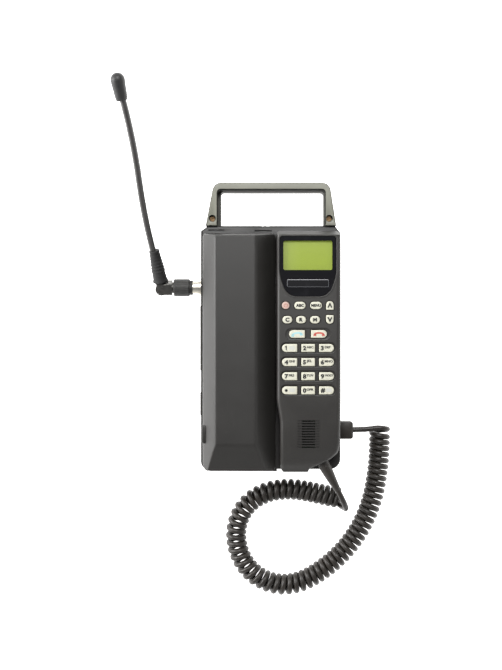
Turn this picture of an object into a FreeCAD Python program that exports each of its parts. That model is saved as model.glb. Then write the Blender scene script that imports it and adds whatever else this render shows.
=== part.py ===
import FreeCAD, Part
import Sketcher
import bisect
import math
import os
import re

# Transportable cellular phone lying on its back. X runs across the face to the right, Y up the face
# towards the carry handle, Z out of the face. The origin is on the rear face that it lies on, halfway along
# the casing and 60.5 from its left side. Sizes are millimetres.

doc = FreeCAD.newDocument("transportable_phone")
Vector = FreeCAD.Vector

# Driving dimensions: alias, value, what it is
SIZES = [
    ("base_level", 0, "rear face that the phone lies on"),
    ("foot_depth", 1, "rubber foot set flush in the rear face"),
    ("foot_radius", 6, "rubber foot"),
    ("foot_x", 44, "feet to the middle line"),
    ("foot_y", 88, "feet to the middle line"),
    ("case_left", -60.5, "casing"),
    ("case_right", 62.2, "casing"),
    ("case_bottom", -108, "casing"),
    ("case_top", 108, "casing"),
    ("case_corner", 9, "rounded lower corners"),
    ("cradle_left", 6.4, "cradle beside the battery deck"),
    ("cradle_bottom", -106, "lower end of the cradle"),
    ("cut_left_across", 6.5, "upper left corner cut off"),
    ("cut_left_along", 4.5, "upper left corner cut off"),
    ("cut_right_across", 4.6, "upper right corner cut off"),
    ("cut_right_along", 6.3, "upper right corner cut off"),
    ("split_level", 26, "joint of rear and front casing"),
    ("deck_level", 35, "front of the casing that battery and handset lie on"),
    ("deck_round", 1.6, "rounded edge of the deck"),
    ("deck_slope_start", 101.5, "deck's upper end slopes from here"),
    ("deck_slope_drop", 1.6, "and falls by this"),
    ("deck_slot_level", 32.9, "bottom of the slots beside the battery"),
    ("wall", 2.4, "casing wall"),
    ("boss_x", 52, "case screw to the middle line"),
    ("boss_y", 96, "case screw to the middle line"),
    ("boss_radius", 4.5, "case screw boss"),
    ("screw_radius", 1.45, "case screw shank"),
    ("screw_bore", 1.55, "bore for a case screw"),
    ("head_radius", 2.9, "case screw head"),
    ("head_recess", 3.2, "recess for a case screw head"),
    ("chassis_width", 92, "chassis plate"),
    ("chassis_length", 196, "chassis plate"),
    ("chassis_level", 6, "underside of the chassis plate"),
    ("chassis_plate", 1.5, "chassis plate thickness"),
    ("post_x", 38, "chassis post"),
    ("post_y", 80, "chassis post"),
    ("board_level", 11, "underside of the transceiver board"),
    ("board_plate", 1.6, "board thickness"),
    ("board_width", 88, "transceiver board"),
    ("board_length", 176, "transceiver board"),
    ("can_width", 68, "shield can"),
    ("can_length", 112, "shield can"),
    ("can_height", 8, "shield can"),
    ("can_wall", 0.8, "shield can sheet"),
    ("handle_low", 12, "rear of the carry handle"),
    ("handle_mid", 24.5, "joint of the handle halves"),
    ("handle_high", 37, "front of the carry handle"),
    ("handle_top", 145.6, "outer edge of the grip bar"),
    ("grip_bar", 6.1, "grip bar across"),
    ("grip_left", -45.9, "inside of the left leg, front half"),
    ("grip_left_rear", -43.2, "inside of the left leg, rear half"),
    ("grip_right", 48.6, "inside of the right leg"),
    ("leg_left_top", -49.1, "outside of the left leg at the bar"),
    ("leg_left_foot", -56.1, "outside of the left leg at the casing"),
    ("leg_right_top", 52.5, "outside of the right leg at the bar"),
    ("leg_right_foot", 58.3, "outside of the right leg at the casing"),
    ("handle_round", 8, "outer corners of the bar"),
    ("handle_inner_round", 2.8, "inner corners of the bar"),
    ("handle_rim", 0.9, "rounded rims"),
    ("handle_screw_left", -50.3, "left handle screw"),
    ("handle_screw_right", 52.2, "right handle screw"),
    ("handle_screw_y", 114.1, "handle screws"),
    ("handle_bore", 3, "counterbore for a handle screw"),
    ("handle_bore_depth", 5.5, "counterbore for a handle screw"),
    ("handle_head", 2.3, "handle screw head"),
    ("handle_shank", 1.5, "handle screw shank"),
    ("port_low", 11.9, "ports in the left side"),
    ("port_high", 20.1, "ports in the left side"),
    ("antenna_y", 54.5, "antenna connector axis"),
    ("antenna_z", 16, "antenna connector axis"),
    ("antenna_lean", 25.3, "whip above the surface, degrees"),
    ("antenna_tilt", 8.8, "whip away from the casing, degrees"),
    ("pivot_x", -96.5, "antenna hinge pin"),
    ("whip_radius", 2.85, "whip"),
    ("whip_start", 20, "bowed stretch of the whip, from the hinge pin"),
    ("whip_end", 180, "bowed stretch of the whip, from the hinge pin"),
    ("whip_bow", 1.5, "whip out of line halfway along each half"),
    ("stub_radius", 3.1, "root of the whip"),
    ("cap_radius", 6, "dome of the cap"),
    ("cap_dome", 184, "centre of the cap's dome, from the hinge pin"),
    ("cord_y", -73.3, "cord plug axis"),
    ("cord_z", 15.5, "cord plug axis"),
    ("plug_end", 75.1, "outer end of the cord plug"),
    ("plug_half", 7.7, "half of the plug's width"),
    ("plug_half_height", 6.2, "half of the plug's height"),
    ("plug_round", 2.6, "plug's outer corners"),
    ("tongue_half", 6, "half of the plug's tongue"),
    ("tongue_half_height", 4, "half of the plug's tongue"),
    ("battery_left", -58.5, "battery pack"),
    ("battery_right", 4.8, "battery pack"),
    ("battery_bottom", -106.6, "battery pack"),
    ("battery_top", 101, "battery pack"),
    ("tray_level", 35.1, "underside of the battery tray"),
    ("cover_level", 37.3, "joint of battery tray and cover"),
    ("face_level", 60, "front face of battery and handset"),
    ("battery_wall", 2.2, "battery cover wall"),
    ("battery_corner", 4, "corners seen from the front"),
    ("battery_low_corner", 6.5, "lower left corner, round like the casing's"),
    ("flank_foot", 44, "left flank leans inwards from here"),
    ("flank_lean", 12, "left flank leans inwards by this"),
    ("flank_round", 7, "edges of the left flank"),
    ("slope_start", -12.2, "flat face ends and the long slope begins"),
    ("slope_round", 6, "edge of the long slope"),
    ("ridge_y", 97.2, "upper end of the flat face"),
    ("hip_y", -82, "lower end of the flat face"),
    ("hip_end_y", -103, "hip meets the end face"),
    ("hip_end_level", 52, "hip meets the end face"),
    ("button_bottom", -81.6, "release button in the left flank"),
    ("button_top", -66.5, "release button in the left flank"),
    ("button_low", 40, "release button in the left flank"),
    ("button_high", 50, "release button in the left flank"),
    ("cell_radius", 7.1, "battery cell"),
    ("cell_length", 43, "battery cell"),
    ("handset_left", 5.7, "handset"),
    ("handset_right", 60.2, "handset"),
    ("handset_bottom", -106.5, "handset"),
    ("handset_top", 102, "handset"),
    ("handset_left_round", 3.2, "long front edge beside the battery"),
    ("handset_right_round", 4, "outer long front edge"),
    ("handset_low", 36, "rear face of the handset"),
    ("handset_split", 46, "joint of the handset shells"),
    ("handset_wall", 2.2, "handset wall"),
    ("handset_board_level", 46, "rear of the handset board"),
    ("handset_board_plate", 1.6, "handset board"),
    ("post_radius", 3.2, "handset screw post"),
    ("cup_low", 31, "ear and mouth cups"),
    ("cup_x", 32.5, "ear and mouth cups"),
    ("ear_y", 74, "ear cup"),
    ("ear_radius", 20, "ear cup"),
    ("mouth_y", -76, "mouth cup"),
    ("mouth_radius", 17, "mouth cup"),
    ("cup_gap", 1.6, "cup to its recess in the cradle"),
    ("key_foot", 56.6, "rear of a key's flange"),
    ("key_flange", 1.1, "key flange thickness"),
    ("key_rim", 0.7, "flange beyond the cap"),
    ("key_gap", 0.3, "cap to its opening"),
    ("key_top", 60.9, "top of a key cap"),
    ("key_height", 7, "digit key"),
    ("key_pitch", 12, "digit rows"),
    ("digit_y", 0.85, "first digit row"),
    ("mat_level", 53.4, "underside of the keypad mat"),
    ("mat_plate", 2, "keypad mat"),
    ("window_level", 58.1, "rear of the display window"),
    ("window_top", 60.2, "front of the display window"),
    ("window_left", 8.3, "display window"),
    ("window_right", 55.8, "display window"),
    ("wire_diameter", 4.4, "curly cord's wire"),
    ("curl_radius", 7.0, "wire centre to the coil's middle line"),
    ("coil_z", 9.4, "coil's middle line"),
    ("relief_length", 29, "strain relief outside the handset"),
]
sheet = doc.addObject("Spreadsheet::Sheet", "size")
for row, (alias, value, meaning) in enumerate(SIZES, start=1):
    sheet.set("A%d" % row, meaning)
    sheet.set("B%d" % row, str(value))
    sheet.setAlias("B%d" % row, alias)
sums = doc.addObject("Spreadsheet::Sheet", "sums")
doc.recompute()
size = {alias: float(value) for alias, value, meaning in SIZES}

X_AXIS = Vector(1, 0, 0)
Y_AXIS = Vector(0, 1, 0)
Z_AXIS = Vector(0, 0, 1)
TURN_TO_AXIS = {
    "x": FreeCAD.Rotation(Y_AXIS, 90),
    "y": FreeCAD.Rotation(X_AXIS, -90),
    "z": FreeCAD.Rotation(),
}


# Helpers for objects bound to the sheet

def term(value):
    """A number or a sum of the sheet's words, as an expression."""
    return re.sub(r"[a-z_]+", lambda word: "size." + word.group(), str(value))


def amount(value):
    """The same sum worked out."""
    sums.set("A1", "=" + term(value))
    sums.recompute()
    return float(sums.get("A1"))


def bind(item, **sizes):
    """Tie an object's properties to expressions."""
    for name, value in sizes.items():
        item.setExpression(name, term(value))
    return item


def place(item, x, y, z):
    for name, value in zip("xyz", (x, y, z)):
        item.setExpression("Placement.Base." + name, term(value))
    return item


def box(x, y, z, name="block"):
    """A block between two places on each axis."""
    item = doc.addObject("Part::Box", name)
    for side, span in zip(("Length", "Width", "Height"), (x, y, z)):
        item.setExpression(side, "(%s) - (%s)" % (term(span[1]), term(span[0])))
    return place(item, x[0], y[0], z[0])


def rod(radius, span, at, axis="z", name="rod", end_radius=None):
    """A cylinder, or a cone with an end radius, along an axis from span[0] to span[1]."""
    kind = "Part::Cylinder" if end_radius is None else "Part::Cone"
    item = doc.addObject(kind, name)
    item.Placement = FreeCAD.Placement(Vector(), TURN_TO_AXIS[axis])
    if end_radius is None:
        bind(item, Radius=radius)
    else:
        bind(item, Radius1=radius, Radius2=end_radius)
    item.setExpression("Height", "(%s) - (%s)" % (term(span[1]), term(span[0])))
    where = {"x": (span[0], at[0], at[1]), "y": (at[0], span[0], at[1]), "z": (at[0], at[1], span[0])}
    return place(item, *where[axis])


def fuse(items, name="joined"):
    item = doc.addObject("Part::MultiFuse", name)
    item.Shapes = items
    return item


def cut(base, tools, name="trimmed"):
    item = doc.addObject("Part::Cut", name)
    item.Base = base
    item.Tool = tools[0] if len(tools) == 1 else fuse(tools)
    return item


def common(first, second, name="shared"):
    item = doc.addObject("Part::Common", name)
    item.Base = first
    item.Tool = second
    return item


def group(items, name):
    """Identical loose pieces that share a node."""
    item = doc.addObject("Part::Compound", name)
    item.Links = items
    return item


def rounded(base, radius, test, name="rounded"):
    """Fillet the edges that a test picks."""
    doc.recompute()
    item = doc.addObject("Part::Fillet", name)
    item.Base = base
    item.Edges = [(i, radius, radius) for i, edge in enumerate(base.Shape.Edges, start=1) if test(edge)]
    return item


def along(edge, axis):
    """Whether an edge is a straight one along an axis."""
    ends = [vertex.Point for vertex in edge.Vertexes]
    if len(ends) != 2:
        return False
    run = ends[1] - ends[0]
    return run.Length > 0 and abs(run.dot(axis)) > 0.999 * run.Length


def middle(edge):
    return edge.BoundBox.Center


# Helpers for bodies made of sketches and pads

def new_body(name):
    return doc.addObject("PartDesign::Body", name)


def sketch_on(body, plane, level=0):
    """A sketch on one of the body's own origin planes, moved along the plane's normal."""
    item = body.newObject("Sketcher::SketchObject", "outline")
    origin_plane = [f for f in body.Origin.OriginFeatures if f.Role == plane][0]
    item.AttachmentSupport = (origin_plane, "")
    item.MapMode = "FlatFace"
    item.setExpression("AttachmentOffset.Base.z", term(level))
    return item


def polygon(sketch, points):
    """A closed outline whose corners are bound to the sheet."""
    doc.recompute()
    first = sketch.GeometryCount
    count = len(points)
    rough = [Vector(amount(x), amount(y), 0) for x, y in points]
    for i in range(count):
        sketch.addGeometry(Part.LineSegment(rough[i], rough[(i + 1) % count]))
    for i in range(count):
        here = first + i
        after = first + (i + 1) % count
        sketch.addConstraint(Sketcher.Constraint("Coincident", here, 2, after, 1))
        for kind, value, rough_value in zip(("DistanceX", "DistanceY"), points[i], rough[i]):
            number = sketch.addConstraint(Sketcher.Constraint(kind, -1, 1, here, 1, rough_value))
            sketch.setExpression("Constraints[%d]" % number, term(value))


def ring(sketch, x, y, radius):
    """A circle bound to the sheet."""
    number = sketch.addGeometry(Part.Circle(Vector(amount(x), amount(y), 0), Z_AXIS, amount(radius)))
    bound = (("Radius", (number, amount(radius)), radius),
             ("DistanceX", (-1, 1, number, 3, amount(x)), x),
             ("DistanceY", (-1, 1, number, 3, amount(y)), y))
    for kind, arguments, value in bound:
        constraint = sketch.addConstraint(Sketcher.Constraint(kind, *arguments))
        sketch.setExpression("Constraints[%d]" % constraint, term(value))


def pad(body, sketch, length, backwards=False):
    item = body.newObject("PartDesign::Pad", "pad")
    item.Profile = sketch
    item.Reversed = backwards
    return bind(item, Length=length)


def pocket(body, sketch, depth, forwards=False):
    """Cut against the sketch's normal, or along it when forwards."""
    item = body.newObject("PartDesign::Pocket", "pocket")
    item.Profile = sketch
    item.Reversed = forwards
    return bind(item, Length=depth)


def fillet(body, radius, test):
    """Round the edges of a body that a test picks."""
    doc.recompute()
    last = body.Tip
    names = ["Edge%d" % i for i, edge in enumerate(last.Shape.Edges, start=1) if test(edge)]
    item = body.newObject("PartDesign::Fillet", "round")
    item.Base = (last, names)
    return bind(item, Radius=radius)


nodes = {}


def sub_part(name, item):
    item.Label = name
    nodes[name] = item
    return item


def circles(x, y, radius):
    """Four like circles, mirrored about both middle lines."""
    return [(sx + x, sy + y, radius) for sx in ("-", "") for sy in ("-", "")]


def four_rods(radius, span, x, y, name):
    return [rod(radius, span, (sx + x, sy + y), name=name) for sx in ("-", "") for sy in ("-", "")]


# Casing

# Lower and upper end of each port in the left side
PORTS = [(-18, 36), (-58, -41.2)]
# A finger slot and a catch beyond the battery's upper end, across and along
DECK_SLOTS = [((-13, 2), (102.3, 104.2)), ((-53.8, -40), (103.2, 104.6))]
# Small notches in the casing's upper edge, across
TOP_NOTCHES = [(-7.2, -5), (-2.8, 0.3)]


def case_outline(sketch, inset="0"):
    """The casing seen from the front: cut upper corners, and shorter below the handset."""
    left = "case_left + %s" % inset
    right = "case_right - %s" % inset
    top = "case_top - %s" % inset
    bottom = "case_bottom + %s" % inset
    step = "cradle_left - %s" % inset
    step_bottom = "cradle_bottom + %s" % inset
    polygon(sketch, [(left, bottom), (step, bottom), (step, step_bottom), (right, step_bottom),
                     (right, top + " - cut_right_along"), (right + " - cut_right_across", top),
                     (left + " + cut_left_across", top), (left, top + " - cut_left_along")])


def lower_corner(edge):
    """The two outer ones, not the step between deck and cradle."""
    at = middle(edge)
    return along(edge, Z_AXIS) and at.y < size["case_bottom"] + 3 and abs(at.x) > 40


def build_rear_casing():
    """The deep rear shell: floor, walls, screw bosses and the holes in its sides."""
    body = new_body("rear_casing")
    outline = sketch_on(body, "XY_Plane", "base_level")
    case_outline(outline)
    pad(body, outline, "split_level - base_level")
    fillet(body, "case_corner", lower_corner)
    inside = sketch_on(body, "XY_Plane", "split_level")
    case_outline(inside, "wall")
    pocket(body, inside, "split_level - base_level - wall")
    bosses = sketch_on(body, "XY_Plane", "base_level + wall")
    for x, y, radius in circles("boss_x", "boss_y", "boss_radius"):
        ring(bosses, x, y, radius)
    pad(body, bosses, "split_level - base_level - wall")
    posts = sketch_on(body, "XY_Plane", "base_level + wall")
    for x, y, radius in circles("post_x", "post_y", "4"):
        ring(posts, x, y, radius)
    pad(body, posts, "chassis_level - base_level - wall")
    doc.recompute()
    bores = four_rods("screw_bore", ("base_level", "split_level + 1"), "boss_x", "boss_y", "screw bore")
    recesses = four_rods("head_recess", ("base_level - 1", "base_level + 3"), "boss_x", "boss_y", "recess")
    recesses += four_rods("foot_radius + 0.1", ("base_level - 1", "foot_depth"), "foot_x", "foot_y",
                          "foot seat")
    connector_bore = rod("5.4", ("case_left - 1", "case_left + 4"), ("antenna_y", "antenna_z"), "x",
                         "connector bore")
    plug_seat = box(("case_right - 4", "case_right + 1"),
                    ("cord_y - tongue_half - 0.1", "cord_y + tongue_half + 0.1"),
                    ("cord_z - tongue_half_height - 0.1", "cord_z + tongue_half_height + 0.1"), "plug seat")
    ports = [box(("case_left - 1", "case_left + 4"), (low - 0.1, high + 0.1), ("port_low", "port_high"),
                 "port") for low, high in PORTS]
    return sub_part("rear_casing", cut(body, bores + recesses + [connector_bore, plug_seat] + ports))


def deck_edge(edge):
    """The deck's outer edges, not the line where its upper end begins to slope."""
    at = middle(edge)
    ridge = along(edge, X_AXIS) and abs(at.y - size["deck_slope_start"]) < 0.1
    return at.z > size["deck_level"] - size["deck_slope_drop"] - 0.1 and not ridge


def build_front_casing():
    """The deck under the battery, and the cradle with recesses for the handset's cups."""
    body = new_body("front_casing")
    outline = sketch_on(body, "XY_Plane", "split_level")
    case_outline(outline)
    pad(body, outline, "deck_level - split_level")
    fillet(body, "case_corner", lower_corner)
    slope = sketch_on(body, "YZ_Plane", "case_left - 1")
    polygon(slope, [("deck_slope_start", "deck_level"), ("deck_slope_start", "deck_level + 1"),
                    ("case_top + 1", "deck_level + 1"), ("case_top + 1", "deck_level - deck_slope_drop")])
    pocket(body, slope, "case_right - case_left + 2", forwards=True)
    fillet(body, "deck_round", deck_edge)
    inside = sketch_on(body, "XY_Plane", "split_level")
    case_outline(inside, "wall")
    pocket(body, inside, "deck_level - split_level - wall", forwards=True)
    bosses = sketch_on(body, "XY_Plane", "split_level")
    for x, y, radius in circles("boss_x", "boss_y", "boss_radius"):
        ring(bosses, x, y, radius)
    pad(body, bosses, "deck_level - split_level - 1")
    cups = sketch_on(body, "XY_Plane", "split_level + 1.6")
    ring(cups, "cup_x", "ear_y", "ear_radius + cup_gap + 2")
    ring(cups, "cup_x", "mouth_y", "mouth_radius + cup_gap + 2")
    pad(body, cups, "deck_level - split_level - 3")
    doc.recompute()
    bores = four_rods("screw_bore", ("split_level - 1", "split_level + 5"), "boss_x", "boss_y", "bore")
    recesses = [rod(radius + " + cup_gap", ("cup_low - 1.2", "deck_level + 1"), ("cup_x", y))
                for radius, y in (("ear_radius", "ear_y"), ("mouth_radius", "mouth_y"))]
    slots = [box(x, y, ("deck_slot_level", "deck_level + 1"), "slot") for x, y in DECK_SLOTS]
    notches = [box(x, ("case_top - 1.4", "case_top + 1"), ("deck_slot_level - 2", "deck_level + 1"), "notch")
               for x in TOP_NOTCHES]
    return sub_part("front_casing", cut(body, bores + recesses + slots + notches))


def build_inside():
    """Chassis plate, transceiver board, its shield can and the hook switch."""
    plate = box(("-chassis_width / 2", "chassis_width / 2"), ("-chassis_length / 2", "chassis_length / 2"),
                ("chassis_level", "chassis_level + chassis_plate"), "plate")
    posts = four_rods("3", ("chassis_level + 1", "board_level"), "post_x", "post_y", "post")
    sub_part("chassis", fuse([plate] + posts))
    sub_part("transceiver_board", box(("-board_width / 2", "board_width / 2"),
                                      ("-board_length / 2", "board_length / 2"),
                                      ("board_level", "board_level + board_plate")))
    can_foot = "board_level + board_plate"
    can = box(("-can_width / 2", "can_width / 2"), ("-can_length / 2", "can_length / 2"),
              (can_foot, can_foot + " + can_height"), "can")
    hollow = box(("can_wall - can_width / 2", "can_width / 2 - can_wall"),
                 ("can_wall - can_length / 2", "can_length / 2 - can_wall"),
                 (can_foot + " - 1", can_foot + " + can_height - can_wall"), "can inside")
    sub_part("shield_can", cut(can, [hollow]))
    sub_part("hook_switch", box(("cup_x - 6", "cup_x + 6"), ("-4", "4"),
                                ("deck_level - wall - 5", "deck_level - wall")))


def build_case_fasteners():
    screws = [fuse([head, shank], "case screw") for head, shank in zip(
        four_rods("head_radius", ("base_level + 1", "base_level + 3"), "boss_x", "boss_y", "head"),
        four_rods("screw_radius", ("base_level + 2.5", "split_level + 4"), "boss_x", "boss_y", "shank"))]
    sub_part("case_screws", group(screws, "case screws"))
    feet = four_rods("foot_radius", ("base_level", "foot_depth"), "foot_x", "foot_y", "foot")
    sub_part("rubber_feet", group(feet, "feet"))


def build_port_covers():
    """Two rubber bungs in the left side, a long and a short one."""
    covers = []
    for low, high in PORTS:
        lid = box(("case_left - 1.3", "case_left"), (low - 2, high + 2), ("port_low - 2", "port_high + 2"),
                  "lid")
        lid = rounded(lid, 0.8, lambda edge: middle(edge).x < size["case_left"] - 1.2)
        bung = box(("case_left - 0.5", "case_left + 3"), (low, high), ("port_low + 0.1", "port_high - 0.1"),
                   "bung")
        covers.append(fuse([lid, bung], "port cover"))
    sub_part("port_covers", group(covers, "port covers"))


# Carry handle

def handle_outline(sketch, grip_left):
    """The handle seen from the front: a bar between two legs that widen downwards."""
    polygon(sketch, [("leg_left_foot", "case_top"), ("leg_left_top", "handle_top"),
                     ("leg_right_top", "handle_top"), ("leg_right_foot", "case_top"),
                     ("grip_right", "case_top"), ("grip_right", "handle_top - grip_bar"),
                     (grip_left, "handle_top - grip_bar"), (grip_left, "case_top")])


def build_handle_half(name, low, high, grip_left, rim_level):
    body = new_body(name)
    outline = sketch_on(body, "XY_Plane", low)
    handle_outline(outline, grip_left)
    pad(body, outline, "%s - %s" % (high, low))
    fillet(body, "handle_round", lambda edge: along(edge, Z_AXIS)
           and middle(edge).y > size["handle_top"] - 1)
    fillet(body, "handle_inner_round", lambda edge: along(edge, Z_AXIS)
           and abs(middle(edge).y - size["handle_top"] + size["grip_bar"]) < 0.1)
    fillet(body, "handle_rim", lambda edge: abs(middle(edge).z - rim_level) < 0.01
           and edge.BoundBox.ZLength < 0.01 and middle(edge).y > size["case_top"] + 0.5)
    return body


def handle_rods(radius, span, name):
    """A rod at each of the handle's two screws."""
    return [rod(radius, span, (x, "handle_screw_y"), name=name)
            for x in ("handle_screw_left", "handle_screw_right")]


def build_handle():
    """Two shells screwed together on brass screws, fixed at the top of the casing."""
    front = build_handle_half("handle front half", "handle_mid", "handle_high", "grip_left",
                              size["handle_high"])
    rear = build_handle_half("handle rear half", "handle_low", "handle_mid", "grip_left_rear",
                             size["handle_low"])
    seat = "handle_high - handle_bore_depth"
    wells = handle_rods("handle_bore", (seat, "handle_high + 1"), "well")
    front_bores = handle_rods("handle_shank + 0.1", ("handle_mid - 1", "handle_high"), "front bore")
    rear_bores = handle_rods("handle_shank + 0.1", ("handle_low + 3", "handle_mid + 1"), "rear bore")
    sub_part("carry_handle_front", cut(front, wells + front_bores))
    sub_part("carry_handle_rear", cut(rear, rear_bores))
    heads = handle_rods("handle_head", (seat, seat + " + 1.8"), "head")
    shanks = handle_rods("handle_shank", ("handle_low + 4", seat + " + 1"), "shank")
    screws = [fuse([head, shank], "handle screw") for head, shank in zip(heads, shanks)]
    sub_part("handle_screws", group(screws, "handle screws"))


# Battery pack

def battery_section(inset):
    """Across the pack: leaning left flank, flat face and a long slope beside the handset."""
    face = "face_level - %s" % inset
    return [("battery_left + %s" % inset, "cover_level"),
            ("battery_left + %s" % inset, "flank_foot"),
            ("battery_left + flank_lean + %s" % inset, face),
            ("slope_start - %s" % inset, face),
            ("battery_right - 0.4 - %s" % inset, "42.4 - %s" % inset),
            ("battery_right - %s" % inset, "cover_level")]


def battery_profile(inset):
    """Along the pack: sloping upper end, flat face, and a hip down to the lower end."""
    face = "face_level - %s" % inset
    return [("battery_top - %s" % inset, "cover_level"),
            ("ridge_y - %s" % inset, face),
            ("hip_y", face),
            ("hip_end_y + %s" % inset, "hip_end_level - %s" % inset),
            ("battery_bottom + %s" % inset, "38.5"),
            ("battery_bottom + %s" % inset, "cover_level")]


def battery_plan(levels, inset="0"):
    """A block with the pack's four rounded corners seen from the front."""
    block = box(("battery_left + %s" % inset, "battery_right - %s" % inset),
                ("battery_bottom + %s" % inset, "battery_top - %s" % inset), levels, "battery plan")
    trim = amount(inset)

    def lower_left(edge):
        return along(edge, Z_AXIS) and middle(edge).x < 0 and middle(edge).y < 0

    def other_corner(edge):
        return along(edge, Z_AXIS) and not lower_left(edge)

    block = rounded(block, size["battery_corner"] - trim, other_corner)
    return rounded(block, size["battery_low_corner"] - trim, lower_left)


def build_battery_block(name, inset):
    """What the pack's three outlines share, each moved inwards by the inset."""
    section_body = new_body(name + " section")
    section = sketch_on(section_body, "XZ_Plane", "-battery_top - 5")
    polygon(section, battery_section(inset))
    pad(section_body, section, "battery_top - battery_bottom + 10")
    if inset == "0":
        fillet(section_body, "flank_round", lambda edge: along(edge, Y_AXIS) and middle(edge).x < -40
               and middle(edge).z > 40)
        fillet(section_body, "slope_round", lambda edge: along(edge, Y_AXIS) and middle(edge).z > 58
               and -20 < middle(edge).x < -5)
    profile_body = new_body(name + " profile")
    profile = sketch_on(profile_body, "YZ_Plane", "battery_left - 5")
    polygon(profile, battery_profile(inset))
    pad(profile_body, profile, "battery_right - battery_left + 10")
    doc.recompute()
    plan = battery_plan(("cover_level - 1", "face_level + 1"), inset)
    return common(common(section_body, profile_body), plan, name)


def build_battery():
    """The pack lifts off as one: cover, tray, cells and the release button in its left flank."""
    outer = build_battery_block("battery outside", "0")
    inner = build_battery_block("battery inside", "battery_wall")
    button_y = ("button_bottom", "button_top")
    button_hole = box(("battery_left - 1", "battery_left + 8"), ("button_bottom - 0.3", "button_top + 0.3"),
                      ("button_low - 0.3", "button_high + 0.3"))
    sub_part("battery_cover", cut(outer, [inner, button_hole]))
    tray = battery_plan(("tray_level", "cover_level"))
    contact_well = box(("-36.5", "-21.5"), ("83.5", "92.5"), ("tray_level - 1", "tray_level + 1.4"))
    sub_part("battery_tray", cut(tray, [contact_well]))
    contacts = [box((x, x + 3), (85, 91), ("deck_level", "tray_level + 1"), "contact")
                for x in (-35, -30.5, -26)]
    sub_part("battery_contacts", group(contacts, "contacts"))
    cells = [rod("cell_radius", (low, "%s + cell_length" % low), (x, "cover_level + cell_radius + 0.4"),
                 "y", "cell")
             for x in ("-45.5", "-29", "-12.5") for low in ("-82", "-37.6", "6.8", "51.2")]
    sub_part("battery_cells", group(cells, "cells"))
    cap = box(("battery_left - 0.6", "battery_left + 3.6"), button_y, ("button_low", "button_high"),
              "button cap")
    cap = rounded(cap, 0.5, lambda edge: middle(edge).x < size["battery_left"] - 0.5)
    flange = box(("battery_left + 2.5", "battery_left + 3.6"), button_y,
                 ("button_low - 1.3", "button_high - 2"), "flange")
    sub_part("battery_release", fuse([cap, flange]))


# Handset

def handset_plan():
    """Seen from the front: rounded upper corners, a low bump below, cut away at its lower right."""
    left = size["handset_left"]
    right = size["handset_right"]
    top = size["handset_top"]
    bottom = size["handset_bottom"]
    return [(left + 3, top), (left + 0.8, top - 0.8), (left, top - 3), (left, -44), (left + 2.9, -62),
            (left + 2.9, -101), (left + 3.8, -104), (left + 5.6, bottom), (32.9, bottom), (34.2, -104),
            (39.6, -101.3), (52.5, -95), (58.5, -89), (right - 0.2, -82), (right, -42),
            (right, top - 3.5), (right - 1, top - 1), (right - 3.5, top)]


def handset_profile():
    """The handset seen from its side: sloping top end, flat face, face bent down at the mouth end."""
    low = size["handset_low"]
    face = size["face_level"]
    return [(size["handset_top"], low), (size["handset_top"], 46.5), (97.3, face), (-42, face),
            (-66, face - 1.3), (-86, face - 4), (-99, face - 8.2), (size["handset_bottom"], face - 13),
            (size["handset_bottom"], low)]


def inward(points, distance):
    """A closed outline moved inwards by a distance."""
    count = len(points)
    area = sum(points[i][0] * points[(i + 1) % count][1] - points[(i + 1) % count][0] * points[i][1]
               for i in range(count))
    turn = 1 if area > 0 else -1
    lines = []
    for i in range(count):
        (x0, y0), (x1, y1) = points[i], points[(i + 1) % count]
        length = math.hypot(x1 - x0, y1 - y0)
        normal = (-turn * (y1 - y0) / length, turn * (x1 - x0) / length)
        lines.append((normal, normal[0] * x0 + normal[1] * y0 + distance))
    moved = []
    for i in range(count):
        (a, b), c = lines[i - 1]
        (d, e), f = lines[i]
        scale = a * e - b * d
        moved.append(((c * e - b * f) / scale, (a * f - c * d) / scale))
    return moved


def soft_edge(radius):
    """A rounded edge in three cuts: distances in from the side and down from the face."""
    turns = [math.radians(turn) for turn in (0, 30, 60, 90)]
    return [(radius * (1 - math.cos(turn)), radius * (1 - math.sin(turn))) for turn in turns]


def handset_section():
    """Across the handset, with its long front edges rounded."""
    left = size["handset_left"]
    right = size["handset_right"]
    low = size["handset_low"]
    face = size["face_level"]
    left_edge = [(left + x, face - z) for x, z in soft_edge(size["handset_left_round"])]
    right_edge = [(right - x, face - z) for x, z in soft_edge(size["handset_right_round"])]
    return [(left, low)] + left_edge + right_edge[::-1] + [(right, low)]


def build_handset_block(name, inset):
    """What the three outlines share, each moved inwards by the inset."""
    plan_body = new_body(name + " plan")
    plan = sketch_on(plan_body, "XY_Plane", "20")
    polygon(plan, inward(handset_plan(), inset))
    pad(plan_body, plan, "60")
    profile_body = new_body(name + " profile")
    profile = sketch_on(profile_body, "YZ_Plane", "-20")
    polygon(profile, inward(handset_profile(), inset))
    pad(profile_body, profile, "100")
    section_body = new_body(name + " section")
    section = sketch_on(section_body, "XZ_Plane", "-120")
    polygon(section, inward(handset_section(), inset))
    pad(section_body, section, "240")
    return common(common(plan_body, profile_body), section_body, name)


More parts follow.
